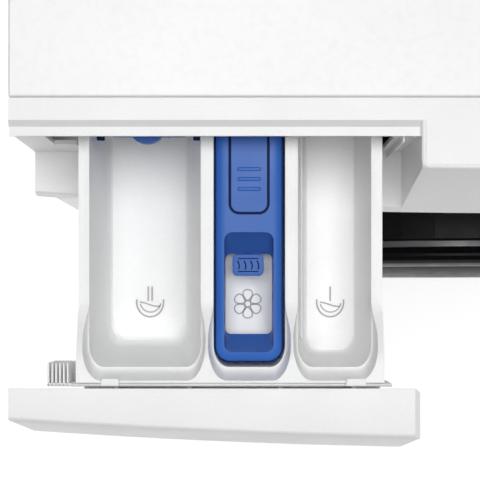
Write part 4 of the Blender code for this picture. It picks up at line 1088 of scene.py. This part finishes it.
def wing_section(x):
    """One side wall of the drawer front, its lower back corner rounded."""
    back = SEAM_Y - 0.0213 + DRAWER_PULL
    outer = front_section(x)[1:12]
    corner = arc(back - 0.0100, FRONT_FOOT + 0.0100, 0.0100, -90, 0, 6)
    return outer + corner + [(back, TOP_Z - 0.0036), (FRONT_BACK - 0.0032, TOP_Z - 0.0030)]


def swept(name, xs, section):
    return loft(name, [[(x, y, z) for y, z in section(x)] for x in xs])


def spread(span, count):
    return [span[0] + (span[1] - span[0]) * i / (count - 1) for i in range(count)]


def build_drawer_front():
    """The drawer's front: a bowed shell with two side walls and inner ribs."""
    shell = swept("drawer_panel", spread(FRONT_X, 33), front_section)
    fuse(
        shell,
        swept("wing", spread((FRONT_X[0], FRONT_X[0] + FRONT_WALL), 2), wing_section),
        swept("wing", spread((FRONT_X[1] - FRONT_WALL, FRONT_X[1]), 2), wing_section),
    )
    cheek = FRONT_X[1]
    bevel_plan = [(cheek - 0.0031, TOP_Z + 0.0001), (cheek + 0.0010, TOP_Z + 0.0001)]
    bevel_plan += [(cheek + 0.0010, TOP_Z - 0.0022), (cheek, TOP_Z - 0.0022)]
    bevel_y = (FRONT_BACK - 0.060, FRONT_BACK + 0.010)
    cut(shell, extrude("end_bevel", bevel_plan, "Y", bevel_y))
    shade(shell, 30)
    soften(shell, 0.0004, 2, 35)
    fit(shell, "drawer", "fascia_white", ["drawer_front"])
    ribs = []
    rib_z = (FRONT_FOOT + 0.004, TOP_Z - 0.0080)
    for k in range(7):
        rib_x = FRONT_X[0] + 0.0270 + 0.0275 * k
        y0 = front_face(rib_x, TOP_Z) + 0.0030
        ribs.append(block("rib", (rib_x, rib_x + 0.0016), (y0, y0 + 0.0085), rib_z, 0.0003))
    fit(shade(joined("drawer_panel_ribs", ribs)), "drawer", "fascia_white")


def build_carrier():
    """The carrier: a plate with ribs, two catches and the guide's ribbed block."""
    box_low, box_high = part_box("drawer_carrier")
    plate_y = (FRONT_BACK + 0.0003, FRONT_BACK + 0.0020)
    plate_z = (TOP_Z - 0.0900, CARRIER_TOP)
    plate = block("carrier_plate", (-0.2677, -0.0935), plate_y, plate_z, 0.0003)
    arm_y = (box_low.y, plate_y[0] + 0.0006)
    parts = []
    for x in (-0.2450, -0.2050, -0.1550, -0.1150):
        parts.append(block("rib", (x, x + 0.0025), arm_y, (TOP_Z - 0.0850, TOP_Z - 0.0200)))
    parts.append(block("shelf", (-0.2650, -0.0960), arm_y, (TOP_Z - 0.0560, TOP_Z - 0.0535)))
    fuse(plate, *parts)
    shade(soften(plate, 0.0003))
    fit(plate, "drawer", "carrier_white", ["drawer_carrier"])
    for name, x in (("left", (-0.2517, -0.2411)), ("right", (-0.1190, -0.1072))):
        taper = 0.0009
        y = (FRONT_BACK + 0.0005, FRONT_BACK + 0.0048)
        plan = [(x[0] + taper, y[1]), (x[0], y[0]), (x[1], y[0]), (x[1] - taper, y[1])]
        catch = extrude("catch_" + name, plan, "Z", (CARRIER_TOP - 0.0004, CARRIER_TOP + 0.0025))
        shade(soften(catch, 0.0004, 3))
        fit(catch, "drawer", "carrier_white")
    guide_z = (TOP_Z - 0.0500, TOP_Z - 0.0150)
    ribs = [block("web", (-0.2809, -0.2672), plate_y, guide_z, 0.0003)]
    for k in range(6):
        x = -0.2809 + 0.0021 * k
        ribs.append(block("rib", (x, x + 0.0010), (plate_y[0], box_high.y), guide_z, 0.0003))
    bar_y = (plate_y[0] + 0.0052, plate_y[0] + 0.0062)
    ribs.append(block("back_bar", (-0.2809, -0.2690), bar_y, (guide_z[0], guide_z[0] + 0.012)))
    fit(shade(joined("guide_ribs", ribs)), "drawer", "carrier_white")


# ---------------------------------------------------------------- console


def face_line(name, x, points, radius, sides=6, squeeze=0.5, closed=False):
    """A low raised line that lies on the console's face at x."""
    return tube(name, points, radius, sides, closed, squeeze, tuple(face_normal(x)))


def build_knob():
    """The programme knob: a fluted cap with a pointer line."""
    centre = middle_of("program_knob")
    x, z = centre.x, centre.z
    reach = high("program_knob").x - x
    normal = face_normal(x)
    base = face_point(x, z, 0.0004)
    depth = (low("program_knob") - base).dot(OUTWARD)
    along, side, up = frame_of(normal)
    shape = bmesh.new()
    count = 144
    flutes = 36
    steps = (
        (1.0, 0.0, 0.2), (1.0, 0.35, 1.0), (0.985, 0.75, 1.0), (0.955, 0.92, 0.6),
        (0.90, 1.0, 0.0), (0.80, 0.985, 0.0), (0.40, 0.965, 0.0),
    )
    rows = []
    for share, level, flute in steps:
        row = []
        for i in range(count):
            angle = 2 * math.pi * i / count
            notch = 0.0005 * flute * (0.5 + 0.5 * math.cos(angle * flutes))
            r = reach * share - notch
            rim = base + side * r * math.cos(angle) + up * r * math.sin(angle)
            row.append(shape.verts.new(rim + along * depth * 0.96 * level))
        rows.append(row)
    for first, second in zip(rows, rows[1:]):
        for i in range(count):
            j = (i + 1) % count
            shape.faces.new((first[i], first[j], second[j], second[i]))
    shape.faces.new(rows[0][::-1])
    shape.faces.new(rows[-1])
    knob = shade(mesh_object("knob_cap", shape), 40)
    fit(knob, "knob", "knob_white", ["program_knob"])
    front = base + along * depth * 0.96
    line = [front + up * reach * (0.42 + 0.09 * t) - along * 0.0003 for t in range(6)]
    pointer = face_line("knob_pointer", x, line, 0.0011, 8, 0.45)
    fit(pointer, "knob", "knob_white", finish="print_grey")


def build_dial_marks():
    """Ticks round the knob: generic marks in place of the programme names."""
    centre = middle_of("program_knob")
    reach = high("program_knob").x - centre.x
    parts = []
    for k in range(16):
        angle = math.radians(22.5 * k + 11.25)
        long = 0.0042 if k % 4 == 0 else 0.0026
        line = []
        for t in range(4):
            r = reach + 0.0050 + long * t / 3
            x, z = centre.x + r * math.sin(angle), centre.z + r * math.cos(angle)
            line.append(face_point(x, z, 0.0002))
        parts.append(face_line("tick", centre.x, line, 0.00055))
    collar = []
    for k in range(72):
        angle = 2 * math.pi * k / 72
        r = reach + 0.0022
        x, z = centre.x + r * math.cos(angle), centre.z + r * math.sin(angle)
        collar.append(face_point(x, z, 0.0001))
    parts.append(face_line("collar", centre.x, collar, 0.0006, 8, closed=True))
    fit(joined("dial_marks", parts), "cabinet", "fascia_white", finish="print_grey")


def button_cap(name, node, body):
    """A round button with a dished face and a rounded edge."""
    centre = middle_of(node)
    reach = high(node).x - centre.x
    base = face_point(centre.x, centre.z, -0.0040)
    height = (low(node) - base).dot(OUTWARD)
    shares = ((0, 0), (1, 0), (1, 0.80), (0.93, 0.95), (0.84, 0.98), (0.45, 0.90), (0, 0.87))
    profile = [(reach * across, height * out) for across, out in shares]
    cap = lathe(name, profile, base, face_normal(centre.x), 64)
    fit(cap, body, "button_grey", [node])
    return centre, reach, base, height


def build_buttons():
    """The start button with its symbol, and two option buttons with their lamps."""
    centre, reach, base, height = button_cap("start_cap", "start_button", "start")
    normal = face_normal(centre.x)
    top = base + normal * height * 0.885
    side, up = frame_of(normal)[1:]
    size = reach * 0.34
    corners = []
    for a, b in ((0.95, 0.0), (-0.6, 0.85), (-0.6, -0.85)):
        corners.append(top + side * a * size + up * b * size)
    loop = []
    for i, corner in enumerate(corners):
        for t in range(6):
            loop.append(corner.lerp(corners[(i + 1) % 3], t / 6))
    symbol = face_line("start_symbol", centre.x, loop, 0.00045, closed=True)
    fit(symbol, "start", "button_grey", finish="print_grey")
    for k in (1, 2):
        centre = button_cap(f"option_cap_{k}", f"option_button_{k}", f"option_{k}")[0]
        lamp = face_point(centre.x, centre.z + 0.0105, 0.0)
        profile = [(0, -0.0004), (0.0011, -0.0004), (0.0011, 0.0003), (0.0008, 0.0006)]
        profile.append((0, 0.0007))
        light = lathe(f"option_lamp_{k}", profile, lamp, face_normal(centre.x), 24)
        fit(light, "cabinet", "button_grey", finish="lamp_white")


def digit(parts, x, z, segments, width, height, out):
    """One seven bar figure drawn on the display."""
    half, mid = width / 2, height / 2
    bars = {
        "a": ((-half, height), (half, height)),
        "b": ((half, mid), (half, height)),
        "c": ((half, 0), (half, mid)),
        "d": ((-half, 0), (half, 0)),
        "e": ((-half, 0), (-half, mid)),
        "f": ((-half, mid), (-half, height)),
        "g": ((-half, mid), (half, mid)),
    }
    for key in segments:
        (ax, az), (bx, bz) = bars[key]
        line = []
        for t in range(5):
            share = 0.10 + 0.80 * t / 4
            place = (x + ax + (bx - ax) * share, z + az + (bz - az) * share)
            line.append(face_point(*place, out))
        parts.append(face_line("bar", x, line, 0.0006, squeeze=0.3))


def build_display():
    """Figures and indicator dots on the display's dark window."""
    centre = middle_of("display_window")
    front = low("display_window")
    out = max(0.0001, face_y(centre.x, front.z) - front.y + 0.0001)
    parts = []
    for k, segments in enumerate(("bc", "abged", "abcdef")):
        digit(parts, centre.x - 0.010 + 0.0115 * k, centre.z - 0.007, segments, 0.0062, 0.0120, out)
    for k in range(2):
        spot = []
        for i in range(6):
            x = centre.x - 0.0043 + 0.0004 * math.cos(i)
            z = centre.z - 0.003 + 0.0045 * k + 0.0004 * math.sin(i)
            spot.append(face_point(x, z, out))
        parts.append(tube("colon", spot, 0.0004, 6, closed=True))
    for k in range(5):
        dash_x = centre.x - 0.034 + 0.004 * k
        line = [face_point(dash_x + 0.0006 * t, centre.z + 0.0105, out) for t in range(4)]
        parts.append(face_line("dash", dash_x, line, 0.0005, squeeze=0.3))
    fit(joined("display_figures", parts), "cabinet", "window_black", finish="lamp_white")


def build_edge_band():
    """The rounded rim of the fascia beside the drawer recess and along its front."""
    radius = 0.0016
    sink = 0.0011
    turn = 0.0028
    z = TOP_Z - sink
    x0 = RECESS_RIGHT_X + sink
    y0 = face_y(x0, TOP_Z, -sink)
    points = [(x0, SEAM_Y - 0.0120, z), (x0, SEAM_Y - 0.0200, z), (x0, y0 + turn + 0.0100, z)]
    for k in range(7):
        angle = math.radians(90 * k / 6)
        x = x0 + turn * (1 - math.cos(angle))
        points.append((x, face_y(x, TOP_Z, -sink) + turn * (1 - math.sin(angle)), z))
    for x in spread((x0 + 0.0120, high("fascia").x - 0.0030), 24):
        points.append((x, face_y(x, TOP_Z, -sink), z))
    band = tube("fascia_rim", points, radius, 12)
    fit(band, "cabinet", "fascia_white")


def build_recess_rib():
    """A stiffening rib on the recess's back wall, right of the tray's opening."""
    y = (RECESS_BACK_Y - 0.0042, RECESS_BACK_Y + 0.0005)
    rib = block("recess_rib", (-0.0878, -0.0866), y, (TOP_Z - 0.0965, TOP_Z - 0.0110), 0.0004)
    fit(shade(rib), "cabinet", "fascia_white")


def build_console():
    build_edge_band()
    build_recess_rib()
    build_knob()
    build_dial_marks()
    build_buttons()
    build_display()


# ---------------------------------------------------------------- door

DOOR_CENTRE = Vector((0, PANEL_Y, DOOR_Z))


def build_door():
    """The round door: glossy ring, trim, glass bowl and the back frame's screws."""
    ring = [
        (0.1500, 0.0300), (0.2268, 0.0300), (0.2274, 0.0322), (0.2286, 0.0334),
        (0.2288, 0.0356), (0.2274, 0.0384), (0.2236, 0.0405), (0.2180, 0.0418),
        (0.2100, 0.0423), (0.1960, 0.0418), (0.1780, 0.0400), (0.1640, 0.0370),
        (0.1560, 0.0345), (0.1512, 0.0325),
    ]
    outer = lathe("door_ring_gloss", ring, DOOR_CENTRE, OUTWARD, 192, 0.0006)
    fit(outer, "door", "door_black", ["door_ring"])
    trim = [
        (0.2200, 0.0253), (0.2200, 0.0297), (0.2288, 0.0297), (0.2292, 0.0293),
        (0.2292, 0.0257), (0.2288, 0.0253),
    ]
    band = lathe("door_trim_band", trim, DOOR_CENTRE, OUTWARD, 192)
    fit(band, "door", "trim_grey", ["door_trim_ring"])
    outside = [
        (0, -0.0975), (0.0450, -0.0972), (0.0800, -0.0966), (0.0980, -0.0940),
        (0.1120, -0.0860), (0.1215, -0.0720), (0.1280, -0.0500), (0.1360, -0.0100),
        (0.1420, 0.0140), (0.1660, 0.0163),
    ]
    inside = [
        (0.1660, 0.0177), (0.1495, 0.0177), (0.1370, 0.0177), (0.1310, -0.0080),
        (0.1230, -0.0480), (0.1165, -0.0695), (0.1075, -0.0820), (0.0950, -0.0895),
        (0.0780, -0.0920), (0.0450, -0.0922), (0, -0.0920),
    ]
    profile = outside + inside
    bowl = lathe("door_bowl_glass", profile, DOOR_CENTRE, OUTWARD, 160)
    fit(bowl, "door", "door_glass", ["door_glass"])
    screws = []
    circle = 0.2045
    for k in range(12):
        angle = math.radians(15 + 30 * k)
        out = Vector((circle * math.cos(angle), -0.0010, circle * math.sin(angle)))
        spot = DOOR_CENTRE + out
        if abs(spot.x) > 0.19 and abs(spot.z - DOOR_Z) < 0.07:
            continue
        screws.append(screw_head(spot, (0, 1, 0), 0.0032))
    fit(joined("door_frame_screws", screws), "door", "door_black", finish="screw_steel")


def screw_head(place, direction, radius):
    """A pan head screw with a cross recess."""
    profile = [(0, -0.0003), (radius, -0.0003), (radius, 0.0004)]
    profile += [(radius * 0.86, 0.0012), (radius * 0.55, 0.0017), (0, 0.0019)]
    head = lathe("screw", profile, place, direction, 20)
    along, side, up = frame_of(direction)
    for a, b in ((side, up), (up, side)):
        spot = Vector(place) + along * 0.0016
        shape = bmesh.new()
        reach, half, tall = radius * 0.62, radius * 0.13, 0.0009
        for s in (-1, 1):
            for t in (-1, 1):
                for h in (-1, 1):
                    shape.verts.new(spot + a * reach * s + b * half * t + along * tall * h)
        bmesh.ops.convex_hull(shape, input=shape.verts)
        cut(head, mesh_object("slot", shape))
    return shade(head, 35)


def build_gasket():
    """The door seal: a folded rubber bellows from the front panel to the tub."""
    box_low, box_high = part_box("door_gasket")
    front, back = box_low.y, box_high.y
    inner = 0.148
    outer = box_high.x
    length = back - front
    points = []
    steps = 40
    for i in range(steps + 1):
        t = i / steps
        wave_out = 0.0062 * math.cos(t * math.pi * 5) * math.sin(math.pi * t) ** 0.5
        narrow = (outer - inner - 0.016) * (0.25 + 0.35 * math.sin(math.pi * t))
        points.append((outer - 0.0080 - narrow + wave_out, t * length))
    wall = 0.0012
    profile = [(r + wall, d) for r, d in points] + [(r - wall, d) for r, d in reversed(points)]
    return lathe("door_seal_bellows", profile, (0, front, DOOR_Z), (0, 1, 0), 144)


# ---------------------------------------------------------------- drum


def drum_wall_piece(name, y, radius, columns, rows):
    """A perforated steel cylinder with a real hole in each cell."""
    shape = bmesh.new()
    centre = Vector((0, 0, DOOR_Z))

    def spot(u, v):
        angle = 2 * math.pi * u / columns
        depth = y[0] + (y[1] - y[0]) * v / rows
        return centre + Vector((radius * math.cos(angle), depth, radius * math.sin(angle)))

    corners = {}

    def corner(i, j):
        key = (i % columns, j)
        if key not in corners:
            corners[key] = shape.verts.new(spot(i, j))
        return corners[key]

    hole = 0.22
    for i in range(columns):
        for j in range(rows):
            square = [corner(i, j), corner(i + 1, j), corner(i + 1, j + 1), corner(i, j + 1)]
            circle = []
            for k in range(8):
                turn = math.radians(225 + 45 * k)
                place = spot(i + 0.5 + hole * math.cos(turn), j + 0.5 + hole * math.sin(turn))
                circle.append(shape.verts.new(place))
            for k in range(4):
                a, b = square[k], square[(k + 1) % 4]
                c, d, e = circle[2 * k], circle[2 * k + 1], circle[(2 * k + 2) % 8]
                shape.faces.new((a, b, d))
                shape.faces.new((a, d, c))
                shape.faces.new((b, e, d))
    wall = mesh_object(name, shape)
    sheet = wall.modifiers.new("sheet", "SOLIDIFY")
    sheet.thickness = 0.0010
    sheet.offset = 0
    return shade(wall, 50)


def build_drum():
    """The drum: perforated wall, rolled front lip and a pressed back plate."""
    box_low, box_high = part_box("drum")
    y0, y1 = box_low.y, box_high.y
    radius = box_high.x
    band = 0.014
    span = (y0 + band, y1 - band)
    wall = drum_wall_piece("drum_perforated_wall", span, radius - 0.0008, 108, 16)
    fit(wall, "drum", "drum_steel")
    t = 0.0012
    length = y1 - y0
    opening = 0.178
    front = [
        (opening, 0.0), (opening + 0.004, 0.0), (radius - 0.014, 0.0), (radius - 0.004, 0.0035),
        (radius, 0.010), (radius, band + 0.001), (radius - t, band + 0.001), (radius - t, 0.0105),
        (radius - 0.005, 0.0048), (radius - 0.0145, t), (opening + 0.005, t),
        (opening + 0.003, 0.009), (opening + 0.001, 0.0095), (opening, 0.008),
    ]
    lip = lathe("drum_front_lip", front, (0, y0, DOOR_Z), (0, 1, 0), 144)
    fit(lip, "drum", "drum_steel")
    # The back plate's steps: a radius, and how deep it lies under the drum's end.
    steps = (
        (radius, band + 0.001), (radius, 0.004), (radius - 0.004, 0.0003), (0.205, 0.0003),
        (0.198, 0.0035), (0.165, 0.0035), (0.158, 0.0003), (0.100, 0.0003), (0.092, 0.0045),
        (0.052, 0.0045), (0.050, 0.0003), (0.0285, 0.0003),
    )
    back = [(r, length - sunk) for r, sunk in steps]
    inner = [(max(0.0285, r - t * 0.7), d - t * 0.9) for r, d in reversed(back)]
    plate = lathe("drum_back_plate", back + inner, (0, y0, DOOR_Z), (0, 1, 0), 144)
    fit(plate, "drum", "drum_steel", ["drum"])
    studs = []
    for k in range(6):
        angle = math.radians(60 * k + 30)
        spot = (0.072 * math.cos(angle), y1 - 0.0055, DOOR_Z + 0.072 * math.sin(angle))
        studs.append(screw_head(spot, (0, -1, 0), 0.0048))
    fit(joined("drum_back_screws", studs), "drum", "drum_steel", finish="screw_steel")


def stretch(piece, node, slot, bodies, start, end):
    """Paints a soft piece and puts it in place of its CAD node."""
    paint(piece, slot)
    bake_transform(piece)
    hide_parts(node)


def ends_of(node):
    """The middle of a node's foot and of its head."""
    centre = middle_of(node)
    return (centre.x, centre.y, low(node).z), (centre.x, centre.y, high(node).z)


def coil_spring(node):
    """A closely wound extension spring with a hook at each end."""
    box_low, box_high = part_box(node)
    centre = (box_low + box_high) / 2
    reach = (box_high.x - box_low.x) / 2
    wire = 0.0015
    radius = reach - wire
    hook = 0.020
    start, end = box_low.z + hook, box_high.z - hook
    turns = 26
    points = []
    for i in range(9):
        t = i / 8
        y = centre.y + radius * math.sin(math.pi * t)
        points.append((centre.x, y, box_low.z + wire + hook * t * 0.9))
    steps = turns * 14
    for i in range(steps + 1):
        angle = 2 * math.pi * i / 14
        x, y = centre.x + radius * math.sin(angle), centre.y + radius * math.cos(angle)
        points.append((x, y, start + (end - start) * i / steps))
    for i in range(1, 9):
        t = i / 8
        y = centre.y + radius * math.cos(math.pi * t * 0.9)
        points.append((centre.x, y, end + (hook - wire) * t))
    spring = tube(node + "_coil", points, wire, 8)
    stretch(spring, node, "spring_steel", ("tub", "cabinet"), *ends_of(node))


def bellows_hose(node, bodies, rings):
    """A corrugated rubber hose with plain cuffs, standing between two spouts."""
    box_low, box_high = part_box(node)
    centre = (box_low + box_high) / 2
    radius = (box_high.x - box_low.x) / 2
    length = box_high.z - box_low.z
    cuff = min(0.016, length * 0.2)
    outside = [(radius - 0.0035, 0.0), (radius - 0.0035, cuff)]
    span = length - 2 * cuff
    steps = rings * 8
    for i in range(steps + 1):
        t = i / steps
        ripple = 0.0022 + 0.0020 * math.cos(2 * math.pi * rings * t)
        outside.append((radius - ripple, cuff + span * t))
    outside += [(radius - 0.0035, length - cuff), (radius - 0.0035, length)]
    wall = 0.0024
    profile = outside + [(r - wall, d) for r, d in reversed(outside)]
    hose = lathe(node + "_bellows", profile, (centre.x, centre.y, box_low.z), (0, 0, 1), 48)
    stretch(hose, node, "hose_black", bodies, *ends_of(node))


def build_suspension():
    """The springs the tub hangs on, and two of its hoses."""
    for side in ("left", "right"):
        coil_spring("suspension_spring_" + side)
    bellows_hose("dispenser_hose", ("tub", "cabinet"), 7)
    bellows_hose("sump_hose", ("cabinet", "tub"), 8)


def build_seal():
    """The door seal, from the front panel to the tub, in place of its CAD node."""
    box_low, box_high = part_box("door_gasket")
    front, back = (0, box_low.y + 0.006, DOOR_Z), (0, box_high.y - 0.004, DOOR_Z)
    stretch(build_gasket(), "door_gasket", "gasket_grey", ("cabinet", "tub"), front, back)


# ---------------------------------------------------------------- outside details


def build_feet():
    """Turned rubber pads on threaded stems with hexagon lock nuts."""
    for name in ("front_left", "front_right", "rear_left", "rear_right"):
        node = "foot_" + name
        box_low, box_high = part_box(node)
        centre = (box_low + box_high) / 2
        radius = (box_high.x - box_low.x) / 2
        base = Vector((centre.x, centre.y, box_low.z))
        shares = (
            (0, 0), (0.86, 0), (0.90, 0.0010), (1, 0.0018), (1, 0.0050), (0.96, 0.0056),
            (0.96, 0.0064), (1, 0.0070), (1, 0.0088), (0.93, 0.0104), (0.50, 0.0116), (0, 0.0116),
        )
        pad = [(radius * share, z) for share, z in shares]
        fit(lathe("foot_pad_" + name, pad, base, (0, 0, 1), 56), "cabinet", "foot_rubber", [node])
        stem_r = 0.0048
        length = box_high.z - box_low.z
        stem = [(0, 0.0100)]
        pitch = 0.0015
        for k in range(int((length - 0.011) / pitch)):
            z = 0.0112 + pitch * k
            stem += [(stem_r - 0.0007, z), (stem_r, z + 0.0007)]
        stem += [(stem_r - 0.0008, length - 0.0002), (0, length)]
        thread = lathe("foot_stem_" + name, stem, base, (0, 0, 1), 32)
        fit(thread, "cabinet", "foot_rubber", finish="screw_steel")
        hexagon = arc(centre.x, centre.y, 0.0098, 0, 300, 5)
        nut = extrude("foot_nut_" + name, hexagon, "Z", (box_low.z + 0.0122, box_low.z + 0.0172))
        fit(shade(soften(nut, 0.0006, 2)), "cabinet", "foot_rubber", finish="screw_steel")


def build_rear_details():
    """Screws, shipping bolt caps and louvres on the rear."""
    face = REAR_Y
    cover_low, cover_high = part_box("rear_cover")
    places = []
    margin = 0.008
    for x in spread((cover_low.x + margin, cover_high.x - margin), 4):
        for z in (cover_low.z + margin, cover_high.z - margin):
            places.append((x, cover_high.y, z))
    for z in spread((cover_low.z + margin, cover_high.z - margin), 5)[1:-1]:
        for x in (cover_low.x + margin, cover_high.x - margin):
            places.append((x, cover_high.y, z))
    edge_x = high("rear_panel").x - 0.010
    for z in spread((0.080, 0.800), 6):
        for x in (-edge_x, edge_x):
            places.append((x, face, z))
    screws = [screw_head(place, (0, 1, 0), 0.0036) for place in places]
    fit(joined("rear_screws", screws), "cabinet", "rear_grey", finish="screw_steel")
    caps = []
    profile = [
        (0, -0.0003), (0.0185, -0.0003), (0.0185, 0.0018), (0.0170, 0.0030), (0.0120, 0.0033),
        (0.0110, 0.0018), (0.0045, 0.0018), (0.0035, 0.0036), (0, 0.0038),
    ]
    for x, z in ((-0.225, 0.690), (0.225, 0.690), (-0.225, 0.160), (0.225, 0.160)):
        caps.append(lathe("cap", profile, (x, face, z), (0, 1, 0), 48))
    fit(joined("shipping_bolt_caps", caps), "cabinet", "rear_grey", finish="lock_black")
    slats = []
    for k in range(9):
        z = 0.655 + 0.0095 * k
        outline = [(face - 0.0002, z), (face + 0.0034, z + 0.0012)]
        outline += [(face + 0.0036, z + 0.0020), (face - 0.0002, z + 0.0062)]
        slats.append(extrude("slat", outline, "X", (-0.055, 0.055)))
    fit(shade(soften(joined("rear_louvres", slats), 0.0004)), "cabinet", "rear_grey")


def build_top_details():
    """A plastic edging under the worktop's sides and the two screws at its rear."""
    x1, y1 = high("worktop").x, high("worktop").y
    under = low("worktop").z
    parts = []
    for side in (-1, 1):
        inner = side * (x1 - 0.0045)
        outer = side * (x1 - 0.0012)
        span = (min(inner, outer), max(inner, outer))
        y, z = (SEAM_Y + 0.002, y1 - 0.002), (under - 0.0026, under - 0.0002)
        parts.append(block("edging", span, y, z, 0.0005))
    fit(shade(joined("worktop_edging", parts)), "cabinet", "worktop_white", finish="seam_grey")
    screws = []
    for x in (-0.200, 0.200):
        screws.append(screw_head((x, y1, (TOP_Z + under) / 2), (0, 1, 0), 0.0034))
    fit(joined("worktop_screws", screws), "cabinet", "worktop_white", finish="screw_steel")


def build_filter_details():
    """Grip ribs and a fine frame on the pump filter's flap."""
    box_low, box_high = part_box("filter_flap")
    face = box_low.y
    x, z = grown((box_low.x, box_high.x), -0.0035), grown((box_low.z, box_high.z), -0.0035)
    outline = rounded(x, z, 0.0040, 6)
    points = [(x, face, z) for x, z in outline]
    flat = dict(squeeze=0.6, lift=(0, -1, 0))
    rim = tube("filter_flap_rim", points, 0.0007, 8, closed=True, **flat)
    fit(rim, "filter_door", "panel_white")
    middle_x = (box_low.x + box_high.x) / 2
    grip = []
    for k in range(5):
        x = middle_x - 0.014 + 0.007 * k
        line = [(x, face, box_high.z - 0.0160 + 0.0014 * t) for t in range(6)]
        grip.append(tube("rib", line, 0.0009, 8, **flat))
    fit(joined("filter_flap_grip", grip), "filter_door", "panel_white")


# CAD nodes that stay in view, and the width of their softened edges.
SOFTENED = {
    "door_hinge_bracket": 0.0008,
    "front_counterweight": 0.0030,
    "motor": 0.0008,
    "drain_pump": 0.0006,
    "dispenser_housing": 0.0005,
    "control_board": 0.0003,
    "base_frame": 0.0010,
    "pump_filter_cap": 0.0005,
    "inlet_valve": 0.0004,
    "door_lock": 0.0005,
    "drum_lifter_1": 0.0030,
    "drum_lifter_2": 0.0030,
    "drum_lifter_3": 0.0030,
    "drum_spider": 0.0012,
    "rear_cover": 0.0008,
    "filter_flap": 0.0006,
    "door_back_frame": 0.0006,
}


def soften_cad_nodes():
    """Rounds the hard edges of the CAD nodes that stay in view."""
    for name, width in SOFTENED.items():
        soften(NODES[name], width, 2, 40)


# ---------------------------------------------------------------- main


def main():
    make_finishes()
    finish_cad_nodes()
    build_stage()
    build_lights()
    build_camera()
    build_tray()
    build_insert()
    build_flap()
    build_drawer_front()
    build_carrier()
    build_console()
    build_door()
    build_seal()
    build_drum()
    build_suspension()
    build_feet()
    build_rear_details()
    build_top_details()
    build_filter_details()
    soften_cad_nodes()


main()
